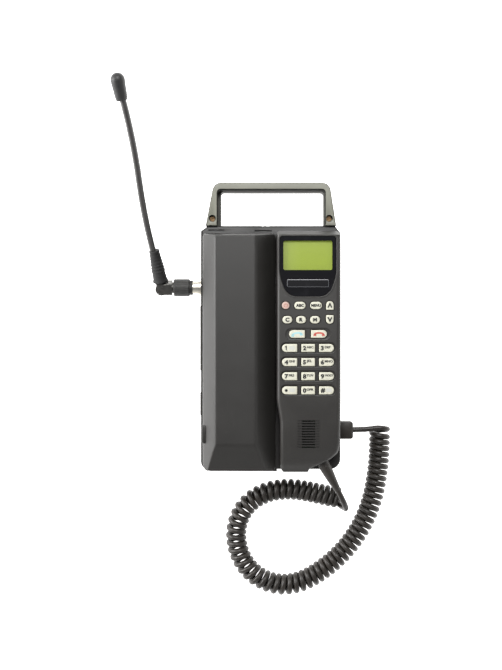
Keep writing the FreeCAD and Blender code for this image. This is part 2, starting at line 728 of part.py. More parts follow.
KEYS = [
    # name, middle across, middle along, width, height, rounded corners from lower left anticlockwise
    ("key_power", 13.1, 37.0, 6.6, 6.6, "1111"),
    ("key_abc", 25.2, 37.0, 9.7, 6.5, "1111"),
    ("key_menu", 38.85, 37.0, 10.2, 6.5, "1111"),
    ("key_up", 50.6, 37.0, 6.5, 7.6, "0011"),
    ("key_clear", 14.5, 24.9, 8.4, 6.5, "1111"),
    ("key_recall", 26.1, 24.9, 8.5, 6.5, "1111"),
    ("key_memory", 38.0, 24.9, 8.5, 6.5, "1111"),
    ("key_down", 50.6, 25.1, 6.5, 7.6, "1100"),
    ("key_call", 22.7, 12.75, 13.6, 6.8, "1001"),
    ("key_end", 41.4, 12.75, 13.6, 6.8, "0110"),
]
DIGIT_NAMES = [["1", "2", "3"], ["4", "5", "6"], ["7", "8", "9"], ["star", "0", "hash"]]
DIGIT_COLUMNS = [(16.45, 13.0, "1001"), (32.2, 11.65, "0000"), (47.8, 12.75, "0110")]
for line, names in enumerate(DIGIT_NAMES):
    for name, (across, width, corners) in zip(names, DIGIT_COLUMNS):
        KEYS.append(("key_" + name, across, size["digit_y"] - line * size["key_pitch"], width,
                     size["key_height"], corners))


def key_outline(sketch, width, height, corners, centre=(0, 0), grow=0.0):
    """A key seen from the front: each corner either nearly square or rounded to a half circle."""
    half_width = width / 2 + grow
    half_height = height / 2 + grow
    places = [(-1, -1), (1, -1), (1, 1), (-1, 1)]
    soft = min(half_width, half_height) - 0.02
    arcs = []
    for (sx, sy), corner in zip(places, corners):
        radius = soft if corner == "1" else 0.7 + grow
        middle_x = centre[0] + sx * (half_width - radius)
        middle_y = centre[1] + sy * (half_height - radius)
        start = math.atan2(sy, sx) - math.pi / 4
        arcs.append(Part.ArcOfCircle(Part.Circle(Vector(middle_x, middle_y, 0), Z_AXIS, radius),
                                     start, start + math.pi / 2))
    for i, arc in enumerate(arcs):
        sketch.addGeometry(arc)
        sketch.addGeometry(Part.LineSegment(arc.EndPoint, arcs[(i + 1) % 4].StartPoint))


def build_keys():
    for name, across, along_face, width, height, corners in KEYS:
        body = new_body(name)
        foot = sketch_on(body, "XY_Plane", "key_foot")
        key_outline(foot, width, height, corners, (across, along_face), size["key_rim"])
        pad(body, foot, "key_flange")
        cap = sketch_on(body, "XY_Plane", "key_foot")
        key_outline(cap, width, height, corners, (across, along_face))
        pad(body, cap, "key_top - key_foot")
        fillet(body, "0.6", lambda edge: middle(edge).z > size["key_top"] - 0.01
               and edge.BoundBox.ZLength < 0.01)
        sub_part(name, body)


def window_outline(sketch, grow=0.0):
    """Straight top, sides drawn in towards a narrower rounded bottom."""
    left = size["window_left"] - grow
    right = size["window_right"] + grow
    top = 95.6 + grow
    bottom = 45.0 - grow
    polygon(sketch, [(left, top), (left, 66), (left + 1.2, 59), (left + 4.4, 50.5), (left + 8.4, 46.4),
                     (left + 13, bottom), (right - 13, bottom), (right - 8.4, 46.4), (right - 4.4, 50.5),
                     (right - 1.2, 59), (right, 66), (right, top)])


def build_cup(x, y, radius):
    """A shallow round cup on the handset's rear, hollow to the inside."""
    solid = rod(radius, ("cup_low", "handset_low + 1"), (x, y), name="cup")
    hollow = rod(radius + " - handset_wall", ("cup_low + handset_wall", "handset_low + 4"), (x, y))
    return solid, hollow


def relief_frame():
    """Where the strain relief leaves the lower right corner, and its direction."""
    root = Vector(45.9, -98.6, 41.5)
    direction = Vector(0.472, -0.88, -0.12)
    direction.normalize()
    return root, direction


def relief_rod(radius, span, name, end_radius=None):
    """A cylinder or cone along the strain relief's axis."""
    root, direction = relief_frame()
    item = doc.addObject("Part::Cylinder" if end_radius is None else "Part::Cone", name)
    if end_radius is None:
        item.Radius = radius
    else:
        item.Radius1 = radius
        item.Radius2 = end_radius
    item.Height = span[1] - span[0]
    item.Placement = FreeCAD.Placement(root + direction * span[0], FreeCAD.Rotation(Z_AXIS, direction))
    return item


HANDSET_SCREWS = [(13, 58.5), (52, 58.5), (15, -50), (50.5, -50)]


def screw_rods(radius, span, name):
    """A rod at each screw that holds the handset together."""
    return [rod(radius, span, at, name=name) for at in HANDSET_SCREWS]


def build_handset():
    """Front and rear shells, with everything that they hold."""
    outer = build_handset_block("handset outside", 0)
    inner = build_handset_block("handset inside", size["handset_wall"])
    side = ("0", "70")
    ends = ("-120", "120")
    front_half = box(side, ends, ("handset_split", "70"), "front half")
    rear_half = box(side, ends, ("20", "handset_split"), "rear half")

    tools = new_body("front shell openings")
    window_seat = sketch_on(tools, "XY_Plane", "window_level - 0.1")
    window_outline(window_seat, 0.15)
    pad(tools, window_seat, "10")
    doc.recompute()
    key_holes = new_body("key openings")
    holes = sketch_on(key_holes, "XY_Plane", "50")
    for name, across, along_face, width, height, corners in KEYS:
        key_outline(holes, width, height, corners, (across, along_face), size["key_gap"])
    pad(key_holes, holes, "20")
    view_port = box(("10.4", "53.8"), ("66.4", "93.5"), ("50", "70"), "view port")
    slots = [box(("25.5", "39.5"), (y - 0.55, y + 0.55), ("50", "70"), "grille slot")
             for y in [-61.4 - 2.26 * i for i in range(11)]]
    posts = screw_rods("post_radius", ("handset_board_level + handset_board_plate", "59"), "front post")
    shell = common(cut(outer, [inner]), front_half, "front shell")
    shell = fuse([shell, common(fuse(posts), outer)], "front shell with posts")
    bores = screw_rods("1.1", ("45", "54.5"), "front bore")
    relief_bore = relief_rod(5.5, (-8, 8), "relief bore")
    sub_part("handset_front_shell", cut(shell, [tools, key_holes, view_port, relief_bore] + slots + bores))

    ear, ear_hollow = build_cup("cup_x", "ear_y", "ear_radius")
    mouth, mouth_hollow = build_cup("cup_x", "mouth_y", "mouth_radius")
    rear = common(cut(outer, [inner]), rear_half, "rear shell")
    rear_posts = screw_rods("post_radius", ("37", "handset_board_level"), "rear post")
    rear_bores = screw_rods("1.3", ("30", "50"), "rear bore")
    wells = screw_rods("2.6", ("30", "38.6"), "screw well")
    ear_holes = [rod("1", ("cup_low - 1", "cup_low + 4"),
                     (size["cup_x"] + 6 * math.cos(math.radians(60 * i)),
                      size["ear_y"] + 6 * math.sin(math.radians(60 * i)))) for i in range(6)]
    mouth_hole = rod("1", ("cup_low - 1", "cup_low + 4"), ("cup_x", "mouth_y"))
    rear = fuse([rear, ear, mouth] + rear_posts, "rear shell with cups")
    sub_part("handset_rear_shell", cut(rear, [ear_hollow, mouth_hollow, mouth_hole, relief_bore]
                                       + wells + rear_bores + ear_holes))

    heads = screw_rods("2.3", ("36.6", "38.6"), "head")
    shanks = screw_rods("1.05", ("38", "53"), "shank")
    screws = [fuse([head, shank], "handset screw") for head, shank in zip(heads, shanks)]
    sub_part("handset_screws", group(screws, "handset screws"))


def build_handset_inside():
    """Window, bare nameplate, display, keypad mat, board and the three sound parts."""
    window = new_body("display_window")
    outline = sketch_on(window, "XY_Plane", "window_level")
    window_outline(outline)
    pad(window, outline, "window_top - window_level")
    sub_part("display_window", window)
    plate = box(("14.2", "49.9"), ("52.4", "59.1"), ("window_top", "window_top + 0.5"), "plate")
    sub_part("nameplate", rounded(plate, 0.8, lambda edge: along(edge, Z_AXIS)))
    sub_part("lcd_panel", box(("10", "54.4"), ("64.5", "94"), ("54.6", "57.7")))
    mat = box(("9.4", "55.6"), ("-40.5", "43"), ("mat_level", "mat_level + mat_plate"), "mat")
    sub_part("keypad_mat", mat)
    board = box(("11.2", "54.6"), ("-88", "95"),
                ("handset_board_level", "handset_board_level + handset_board_plate"), "board")
    passes = screw_rods("post_radius + 0.1", ("44", "50"), "board hole")
    sub_part("handset_board", cut(board, passes))
    sub_part("earpiece_speaker", rod("13", ("cup_low + handset_wall", "37.6"), ("cup_x", "ear_y")))
    sub_part("microphone", rod("4", ("cup_low + handset_wall", "37"), ("cup_x", "mouth_y")))
    sub_part("ringer_speaker", rod("10.5", ("47.6", "51.6"), ("cup_x", "-72.7")))


# Distance along the boot and radius there
RELIEF_TAPER = [(-4, 5.4), (8, 4.9), (21, 3.6), (29, 2.8)]
RELIEF_RIBS = 8
RIB_PITCH = 2.9
RIB_WIDTH = 1.5
RIB_HEIGHT = 0.2


def relief_radius(place_along):
    """The boot's radius without its ribs."""
    for (start, start_radius), (end, end_radius) in zip(RELIEF_TAPER, RELIEF_TAPER[1:]):
        if place_along <= end:
            return start_radius + (end_radius - start_radius) * (place_along - start) / (end - start)
    return RELIEF_TAPER[-1][1]


def build_relief():
    """A ribbed tapered boot that the cord leaves the handset through."""
    cones = [relief_rod(start[1], (start[0], end[0]), "boot", end[1])
             for start, end in zip(RELIEF_TAPER, RELIEF_TAPER[1:])]
    starts = [3 + RIB_PITCH * i for i in range(RELIEF_RIBS)]
    ribs = [relief_rod(relief_radius(start) + RIB_HEIGHT, (start, start + RIB_WIDTH), "rib")
            for start in starts]
    return sub_part("handset_strain_relief", fuse(cones + ribs))


# Antenna: modelled upright about the connector axis, then leaned

def lean(item):
    """Turned about the connector's axis, up from the surface."""
    item.Placement = FreeCAD.Placement(Vector(), FreeCAD.Rotation(X_AXIS, size["antenna_lean"]))
    item.setExpression("Placement.Rotation.Angle", "size.antenna_lean")
    return place(item, "0", "antenna_y", "antenna_z")


def tilt(item):
    """Turned about the hinge pin, away from the casing."""
    turn = FreeCAD.Placement(Vector(size["pivot_x"], 0, 0), FreeCAD.Rotation(Z_AXIS, size["antenna_tilt"]))
    leaned = FreeCAD.Placement(Vector(0, size["antenna_y"], size["antenna_z"]),
                               FreeCAD.Rotation(X_AXIS, size["antenna_lean"]))
    item.Placement = leaned * turn
    return item


NUT_GROOVES = 24
NUT_ENDS = (-85.7, -71.5)
NUT_COLLAR_END = -68.8


def build_antenna_connector():
    """Brass flange and thread on the casing, and the knurled nut over it."""
    at = ("antenna_y", "antenna_z")
    flange = rod("7.6", ("case_left - 3.4", "case_left"), at, "x", "flange")
    collar = rod("6.6", ("case_left - 7.8", "case_left - 3"), at, "x", "collar")
    thread = rod("4.92", ("-78.6", "case_left - 7"), at, "x", "thread")
    tail = rod("5.3", ("case_left - 1", "case_left + 7"), at, "x", "tail")
    ring_nut = rod("8", ("case_left + wall", "case_left + 5"), at, "x", "ring nut")
    sub_part("antenna_socket", fuse([flange, collar, thread, tail, ring_nut]))

    sleeve = rod("7.8", NUT_ENDS, at, "x", "nut")
    sleeve = rounded(sleeve, 0.9, lambda edge: edge.BoundBox.XLength < 0.01)
    nut_collar = rod("6.6", (NUT_ENDS[1] - 1, NUT_COLLAR_END), at, "x", "nut collar")
    wide_bore = rod("5", ("-81", NUT_COLLAR_END + 1), at, "x", "wide bore")
    neck_bore = rod("4.2", ("-87", "-80"), at, "x", "neck bore")
    grooves = []
    for i in range(NUT_GROOVES):
        angle = math.radians(360 / NUT_GROOVES * i)
        groove = rod("0.4", ("-84", "-73"), at, "x", "knurl")
        groove.setExpression("Placement.Base.y", "size.antenna_y + %.4f" % (7.9 * math.cos(angle)))
        groove.setExpression("Placement.Base.z", "size.antenna_z + %.4f" % (7.9 * math.sin(angle)))
        grooves.append(groove)
    sub_part("antenna_nut", cut(fuse([sleeve, nut_collar]), [wide_bore, neck_bore] + grooves))


def build_elbow():
    """The swivelling elbow: a neck held by the nut and a fork for the whip."""
    shaft = rod("4.15", ("-90", "-80"), ("0", "0"), "x", "shaft")
    collar = rod("4.92", ("-80.9", "-79.2"), ("0", "0"), "x", "retaining collar")
    neck = rod("4.9", ("-90", "-86"), ("0", "0"), "x", "neck")
    block = box(("pivot_x", "pivot_x + 9.3"), ("-5.5", "5.5"), ("-5.5", "5.5"), "fork")
    block = rounded(block, 1.2, lambda edge: along(edge, X_AXIS))
    eye = rod("5.5", ("-5.5", "5.5"), ("pivot_x", "0"), name="fork eye")
    slot = box(("pivot_x - 7", "pivot_x + 5.8"), ("-7", "7"), ("-2.3", "2.3"), "fork slot")
    pin_bore = rod("1.5", ("-7", "7"), ("pivot_x", "0"), name="pin bore")
    elbow = cut(fuse([shaft, collar, neck, block, eye]), [slot, pin_bore])
    sub_part("antenna_elbow", lean(elbow))
    pin = rod("1.5", ("-5.8", "5.8"), ("pivot_x", "0"), name="pin")
    sub_part("antenna_pin", lean(group([pin], "pin")))


def bowed_rod(radius, name):
    """The whip's bowed halves, away from the casing and then towards it: short pieces of very large rings."""
    half_span = (size["whip_end"] - size["whip_start"]) / 4
    bow = size["whip_bow"]
    ring_radius = (half_span ** 2 + bow ** 2) / (2 * bow)
    angle = math.degrees(2 * math.asin(half_span / ring_radius))
    arcs = []
    for way, steps, turn in ((-1, 1, 180), (1, 3, 0)):
        item = doc.addObject("Part::Torus", name)
        item.Radius1 = ring_radius
        bind(item, Radius2=radius)
        item.Angle3 = angle
        item.Placement = FreeCAD.Placement(
            Vector(way * (bow - ring_radius), size["whip_start"] + steps * half_span, 0),
            FreeCAD.Rotation(Z_AXIS, turn - angle / 2))
        arcs.append(item)
    return fuse(arcs)


SLEEVE_RIBS = 7


def build_whip():
    """Root tongue with the rod, ribbed sleeve and cap, all about the hinge pin at zero."""
    tongue = fuse([rod("4.4", ("-2.2", "2.2"), ("0", "0"), name="tongue eye"),
                   box(("-4.4", "4.4"), ("0", "6.2"), ("-2.2", "2.2"), "tongue")])
    stub = rod("stub_radius", ("5.8", "whip_start + 1"), ("0", "0"), "y", "stub")
    hole = rod("1.55", ("-5", "5"), ("0", "0"), name="pin hole")
    whip = bowed_rod("whip_radius", "whip")
    sub_part("antenna_rod", tilt(cut(fuse([tongue, stub, whip]), [hole])))

    cone = rod("6.8", ("6.2", "36"), ("0", "0"), "y", "sleeve", "4.4")
    ribs = [rod(7.2 - 0.095 * (at - 6), (at, at + 1.6), ("0", "0"), "y", "rib")
            for at in [16 + 2.9 * i for i in range(SLEEVE_RIBS)]]
    stub_bore = rod("stub_radius + 0.05", ("5", "whip_start + 1.2"), ("0", "0"), "y", "stub bore")
    sleeve = cut(fuse([cone] + ribs), [stub_bore, bowed_rod("whip_radius + 0.05", "whip bore")])
    sub_part("antenna_sleeve", tilt(sleeve))

    profile = new_body("cap outline")
    outline = sketch_on(profile, "XY_Plane", "0")
    dome_radius = size["cap_radius"]
    dome_centre = Y_AXIS * size["cap_dome"]
    foot = Vector(0, 167.5, 0)
    half = [foot, Vector(4.5, 167.5, 0), Vector(5.1, 168.8, 0), Vector(5.6, 178, 0),
            dome_centre + X_AXIS * dome_radius]
    for start, end in zip(half, half[1:]):
        outline.addGeometry(Part.LineSegment(start, end))
    outline.addGeometry(Part.ArcOfCircle(Part.Circle(dome_centre, Z_AXIS, dome_radius), 0, math.pi / 2))
    outline.addGeometry(Part.LineSegment(dome_centre + Y_AXIS * dome_radius, foot))
    turned = profile.newObject("PartDesign::Revolution", "cap")
    turned.Profile = outline
    turned.ReferenceAxis = (outline, ["V_Axis"])
    turned.Angle = 360
    sub_part("antenna_cap", tilt(cut(profile, [bowed_rod("whip_radius + 0.05", "cap bore")])))


# Curly cord

def build_plug():
    """The plug in the casing's right side."""
    block = box(("case_right", "plug_end"), ("cord_y - plug_half", "cord_y + plug_half"),
                ("cord_z - plug_half_height", "cord_z + plug_half_height"), "plug")
    block = rounded(block, size["plug_round"], lambda edge: middle(edge).x > size["plug_end"] - 0.1)
    tongue = box(("case_right - 2.2", "case_right + 2"), ("cord_y - tongue_half", "cord_y + tongue_half"),
                 ("cord_z - tongue_half_height", "cord_z + tongue_half_height"), "tongue")
    sub_part("cord_plug", fuse([block, tongue]))


# The coil's middle line from the handset end to the plug end, as control points of a smooth curve
COIL_ROUTE = [(66, -136.2), (53.5, -134), (37.5, -130.3), (18, -127.2), (-3.7, -130.3), (-21, -141.5),
              (-30.5, -160.5), (-29, -183.5), (-17, -203.5), (3.5, -214.7), (25.5, -214),
              (47, -202.3), (68, -184.2), (84.2, -161.4), (94.1, -136.5), (99, -110.5), (100.7, -89.8),
              (100.8, -71.7)]
CURLS = 65
CURL_PITCH = 5.08
CURL_OPENING = 1.1
# The last curl before the plug stands off the others, over the last stretch of the middle line
END_STRETCH = 8
END_OPENING = 1.35


def coil_middle_line():
    poles = [Vector(x, y, size["coil_z"]) for x, y in COIL_ROUTE]
    curve = Part.BSplineCurve()
    count = len(poles)
    curve.buildFromPolesMultsKnots(poles, [3] + [1] * (count - 3) + [3], list(range(count - 1)), False, 2)
    return curve


def winding(curve, steps=2000):
    """The parameter of the curve at each turn: the curls open where the coil bends."""
    reach = curve.LastParameter - curve.FirstParameter
    parameters = [curve.FirstParameter + reach * i / steps for i in range(steps + 1)]
    turns = [0.0]
    for before, after in zip(parameters, parameters[1:]):
        run = (curve.value(after) - curve.value(before)).Length
        pitch = CURL_PITCH * (1 + CURL_OPENING * curve.curvature(after) * size["curl_radius"])
        if (curve.EndPoint - curve.value(after)).Length < END_STRETCH:
            pitch *= END_OPENING
        turns.append(turns[-1] + run / pitch)
    scale = CURLS / turns[-1]
    print("curls that the pitch asks for: %.1f, made: %d" % (turns[-1], CURLS))
    return parameters, [turn * scale for turn in turns]


def biarc(start, start_way, end, end_way):
    """Two tangent arcs between two points with given directions."""
    gap = end - start
    ways = start_way + end_way
    spread = 2 * (1 - start_way.dot(end_way))
    reach = gap.dot(ways)
    length = (math.sqrt(reach * reach + spread * gap.dot(gap)) - reach) / spread
    joint = (start + end + (start_way - end_way) * length) * 0.5
    return [tangent_arc(start, start_way, joint), tangent_arc(end, end_way * -1, joint, backwards=True)]


def tangent_arc(start, way, end, backwards=False):
    chord = end - start
    inwards = chord - way * chord.dot(way)
    inwards.normalize()
    centre = start + inwards * (chord.dot(chord) / (2 * chord.dot(inwards)))
    bisector = (start - centre) + (end - centre)
    bisector.normalize()
    middle_point = centre + bisector * (start - centre).Length
    if backwards:
        start, end = end, start
    return Part.Arc(start, middle_point, end).toShape()


def build_curly_cord():
    """One unbroken left-handed helix with a straight lead at each end."""
    curve = coil_middle_line()
    parameters, turns = winding(curve)
    radius = size["curl_radius"]

    def wire_at(turn):
        i = min(max(bisect.bisect_left(turns, turn), 1), len(turns) - 1)
        share = (turn - turns[i - 1]) / (turns[i] - turns[i - 1])
        parameter = parameters[i - 1] + share * (parameters[i] - parameters[i - 1])
        side = Z_AXIS.cross(curve.tangent(parameter)[0])
        angle = 2 * math.pi * turn
        out = Z_AXIS * math.cos(angle) + side * math.sin(angle)
        return curve.value(parameter) + out * radius

    def way_at(turn):
        way = wire_at(min(turn + 0.001, CURLS)) - wire_at(max(turn - 0.001, 0))
        way.normalize()
        return way

    root, relief_way = relief_frame()
    lead_start = root + relief_way * size["relief_length"]
    lead_end = lead_start + relief_way * size["wire_diameter"]
    plug_face = Vector(size["plug_end"], size["cord_y"], size["cord_z"])
    plug_lead = plug_face + X_AXIS * 14
    edges = [Part.LineSegment(lead_start, lead_end).toShape()]
    edges += biarc(lead_end, relief_way, wire_at(0), way_at(0))
    for i in range(2 * CURLS):
        edges += biarc(wire_at(i / 2), way_at(i / 2), wire_at((i + 1) / 2), way_at((i + 1) / 2))
    edges += biarc(wire_at(CURLS), way_at(CURLS), plug_lead, X_AXIS * -1)
    edges.append(Part.LineSegment(plug_lead, plug_face).toShape())
    radii = [edge.Curve.Radius for edge in edges if hasattr(edge.Curve, "Radius")]
    print("least bend radius %.2f, wire %.1f" % (min(radii), size["wire_diameter"]))
    print("lead radii", ["%.1f" % r for r in radii[:2] + radii[-2:]])

    path = Part.Wire(edges)
    section = Part.Wire(Part.Circle(lead_start, relief_way, size["wire_diameter"] / 2).toShape())
    tube = path.makePipeShell([section], True, False)
    expected = math.pi * size["wire_diameter"] ** 2 / 4 * path.Length
    print("cord length %.0f, volume %.0f, section times length %.0f" % (path.Length, tube.Volume, expected))
    points = path.discretize(Distance=0.9)
    least, at = min(((points[i] - points[j]).Length, i) for i in range(len(points))
                    for j in range(i + 14, min(i + 70, len(points))))
    gap = least - size["wire_diameter"]
    print("least gap of the cord to itself %.2f at %.0f, %.0f" % (gap, points[at].x, points[at].y))
    item = doc.addObject("Part::Feature", "curly_cord")
    item.Shape = tube
    sub_part("curly_cord", item)


def main():
    build_rear_casing()
    build_front_casing()
    build_inside()
    build_case_fasteners()
    build_port_covers()
    build_handle()
    build_battery()
    build_keys()
    build_handset()
    build_handset_inside()
    build_relief()
    build_antenna_connector()
    build_elbow()
    build_whip()
    build_plug()
    build_curly_cord()
    doc.recompute()
    failed = [item.Label for item in doc.Objects if {"Invalid", "Error"} & set(item.State)]
    bad = [name for name, item in nodes.items() if item.Shape.isNull() or not item.Shape.isValid()]
    if failed or bad:
        raise RuntimeError("failed objects: %s, bad shapes: %s" % (failed, bad))
    os.makedirs("parts", exist_ok=True)
    for name, item in nodes.items():
        item.Shape.exportStep("parts/%s.step" % name)
    print("%d sub-parts written" % len(nodes))


main()
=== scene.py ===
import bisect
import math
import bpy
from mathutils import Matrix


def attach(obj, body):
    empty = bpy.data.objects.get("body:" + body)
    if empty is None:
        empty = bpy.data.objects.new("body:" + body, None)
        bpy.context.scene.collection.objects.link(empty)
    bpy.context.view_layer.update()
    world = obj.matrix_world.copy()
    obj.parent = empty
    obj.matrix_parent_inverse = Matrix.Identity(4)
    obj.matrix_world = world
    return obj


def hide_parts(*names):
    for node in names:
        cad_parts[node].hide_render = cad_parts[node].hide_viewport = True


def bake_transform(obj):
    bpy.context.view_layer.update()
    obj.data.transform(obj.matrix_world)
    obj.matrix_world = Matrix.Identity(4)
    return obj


bl_info = {
    "name": "Transportable phone",
    "version": (1, 0, 0),
    "blender": (4, 5, 0),
    "location": "View3D > Sidebar > Phone",
    "description": "Dresses a transportable phone with its handset, antenna and curly cord",
    "category": "Object",
}

import bmesh
import bpy
from bpy.props import FloatProperty, FloatVectorProperty, IntProperty, PointerProperty
from mathutils import Matrix, Vector

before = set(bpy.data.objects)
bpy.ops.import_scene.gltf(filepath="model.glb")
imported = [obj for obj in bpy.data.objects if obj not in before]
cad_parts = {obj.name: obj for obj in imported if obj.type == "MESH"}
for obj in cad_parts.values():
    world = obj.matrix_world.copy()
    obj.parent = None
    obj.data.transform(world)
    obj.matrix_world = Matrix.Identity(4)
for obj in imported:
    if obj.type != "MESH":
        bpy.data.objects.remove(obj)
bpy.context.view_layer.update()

# The script's own lengths are millimetres where a value doesn't say MM, and are then scaled
MM = 0.001
Z_AXIS = Vector((0, 0, 1))
# Level of the handset's and the battery's face
FACE = 60 * MM
ANTENNA_AXIS = Vector((0, 54.5, 16)) * MM
HINGE_PIN = Vector((-96.5, 54.5, 16)) * MM
ANTENNA_LEAN = math.radians(25.3)
ANTENNA_TILT = math.radians(8.8)


# Settings that a user would change

class PhoneColours(bpy.types.PropertyGroup):
    """Colours of the finishes, as linear light."""

    def colour(name, words, value):
        return FloatVectorProperty(name=name, description=words, subtype="COLOR", size=3, min=0, max=1,
                                   default=value)

    casing: colour("Casing", "Moulded casing, battery and handset", (0.016, 0.0150, 0.0136))
    handle: colour("Handle", "Front of the carry handle", (0.17, 0.17, 0.138))
    key_cap: colour("Key caps", "Moulded key caps", (0.57, 0.56, 0.46))
    # A much darker copy of the key colour, painted on the keys' rounded edges as shade
    key_edge: colour("Key edges", "Rounded edges of the key caps", (0.075, 0.065, 0.042))
    power_key: colour("Power key", "Cap of the power key", (0.50, 0.36, 0.31))
    legend: colour("Legends", "Print on the keys", (0.012, 0.012, 0.012))
    call_sign: colour("Call sign", "Handset sign on the call key", (0.33, 0.58, 0.62))
    end_sign: colour("End sign", "Handset sign on the end key", (0.50, 0.10, 0.075))
    display: colour("Display", "Display behind the window", (0.21, 0.27, 0.022))
    window: colour("Window", "Printed border of the window", (0.006, 0.006, 0.007))
    cord: colour("Cord", "Cord, plug and relief", (0.020, 0.0170, 0.0140))
    rubber: colour("Rubber", "Antenna, feet and port covers", (0.012, 0.012, 0.012))
    brass: colour("Brass", "Connector and handle screws", (0.62, 0.47, 0.27))


class PhoneSizes(bpy.types.PropertyGroup):
    """Sizes of the dressed surfaces."""

    def length(name, words, value, low=0.0, high=1.0):
        return FloatProperty(name=name, description=words, subtype="DISTANCE", unit="LENGTH", min=low,
                             max=high, default=value, precision=5)

    edge: length("Edge", "Rounding of moulded edges", 0.45 * MM)
    trough: length("Key trough", "Depth of the troughs that the keys stand in", 0.55 * MM)
    key_gap: length("Key gap", "Gap round a key", 0.3 * MM)
    wire: length("Wire", "Curly cord's wire", 4.9 * MM)
    curl_radius: length("Curl radius", "Wire centre to the coil's middle line", 7.1 * MM)
    curl_pitch: length("Curl pitch", "Curls' pitch where the coil is straight", 5.08 * MM)
    curl_opening: FloatProperty(name="Curl opening", description="How far curls open in a bend",
                                subtype="FACTOR", min=0, max=3, default=1.1)
    curls: IntProperty(name="Curls", description="Turns of the curly cord", default=65)


def colours():
    """The colours that the user set."""
    return bpy.context.scene.phone_colours


def sizes():
    """The sizes that the user set."""
    return bpy.context.scene.phone_sizes


# Materials

def node(tree, kind, place=(0, 0), inputs=None, **options):
    """Add a node, with the values of its inputs by name."""
    item = tree.nodes.new(kind)
    item.location = place
    for name, value in options.items():
        setattr(item, name, value)
    for name, value in (inputs or {}).items():
        item.inputs[name].default_value = value
    return item


def link(tree, source, target):
    tree.links.new(source, target)


# Colour sockets of a Mix node
MIX_FIRST, MIX_SECOND, MIX_RESULT = 6, 7, 2


class Finish:
    """A material on the principled shader, with helpers for procedural detail."""

    def __init__(self, name, colour, roughness, metallic=0.0, specular=0.5, coat=0.0, coat_roughness=0.1):
        self.material = bpy.data.materials.new(name)
        self.material.use_nodes = True
        self.tree = self.material.node_tree
        self.shader = self.tree.nodes["Principled BSDF"]
        for name, value in (("Base Color", (*colour, 1)), ("Roughness", roughness), ("Metallic", metallic),
                            ("Specular IOR Level", specular), ("Coat Weight", coat),
                            ("Coat Roughness", coat_roughness)):
            self.shader.inputs[name].default_value = value
        self.material.diffuse_color = (*colour, 1)
        self.where = node(self.tree, "ShaderNodeTexCoord", (-1400, 0)).outputs["Object"]
        self.colour = None
        self.base = (*colour, 1)
        self.roughness = None
        self.base_roughness = roughness
        self.height = None

    def stretched(self, scale, turn):
        """The place on the object, scaled and turned for a pattern of streaks."""
        mapping = node(self.tree, "ShaderNodeMapping", (-1200, 0), {"Scale": scale, "Rotation": turn})
        link(self.tree, self.where, mapping.inputs["Vector"])
        return mapping.outputs["Vector"]

    def noise(self, scale, detail, where=None):
        """Cloudy noise."""
        item = node(self.tree, "ShaderNodeTexNoise", (-1000, 0), {"Scale": scale, "Detail": detail})
        link(self.tree, where or self.where, item.inputs["Vector"])
        return item.outputs["Fac"]

    def cell_distance(self, scale):
        """The distance to the middle of the nearest of many scattered cells."""
        item = node(self.tree, "ShaderNodeTexVoronoi", (-1000, 0), {"Scale": scale})
        link(self.tree, self.where, item.inputs["Vector"])
        return item.outputs["Distance"]

    def span(self, value, low, high, to_low=0.0, to_high=1.0):
        """A value's span from low to high, mapped to another span."""
        item = node(self.tree, "ShaderNodeMapRange", (-800, 0),
                    {"From Min": low, "From Max": high, "To Min": to_low, "To Max": to_high})
        link(self.tree, value, item.inputs["Value"])
        return item.outputs["Result"]

    def times(self, first, second):
        """Two factors multiplied; each is a number or a socket."""
        item = node(self.tree, "ShaderNodeMath", (-650, 0), operation="MULTIPLY")
        for socket, value in zip(item.inputs, (first, second)):
            if isinstance(value, (int, float)):
                socket.default_value = value
            else:
                link(self.tree, value, socket)
        return item.outputs[0]

    def tint(self, factor, colour):
        """Mix another colour over the base where the factor says."""
        item = node(self.tree, "ShaderNodeMix", (-400, 200), data_type="RGBA")
        link(self.tree, factor, item.inputs["Factor"])
        if self.colour is None:
            item.inputs[MIX_FIRST].default_value = self.base
        else:
            link(self.tree, self.colour, item.inputs[MIX_FIRST])
        item.inputs[MIX_SECOND].default_value = (*colour, 1)
        self.colour = item.outputs[MIX_RESULT]

    def polish(self, factor, amount):
        """Add to the roughness where the factor says."""
        scaled = self.times(factor, amount)
        item = node(self.tree, "ShaderNodeMath", (-400, -100), operation="ADD", use_clamp=True)
        link(self.tree, scaled, item.inputs[0])
        if self.roughness is None:
            item.inputs[1].default_value = self.base_roughness
        else:
            link(self.tree, self.roughness, item.inputs[1])
        self.roughness = item.outputs[0]

    def emboss(self, value, depth):
        """Add a bump of a depth in metres."""
        item = node(self.tree, "ShaderNodeBump", (-300, -400))
        item.inputs["Distance"].default_value = depth
        link(self.tree, value, item.inputs["Height"])
        if self.height is not None:
            link(self.tree, self.height, item.inputs["Normal"])
        self.height = item.outputs["Normal"]

    def finish(self):
        """Link what was added to the shader."""
        for socket, name in ((self.colour, "Base Color"), (self.roughness, "Roughness"),
                             (self.height, "Normal")):
            if socket is not None:
                link(self.tree, socket, self.shader.inputs[name])
        return self.material


def toned(colour, share):
    """A colour made lighter or darker."""
    return tuple(min(1, channel * share) for channel in colour)


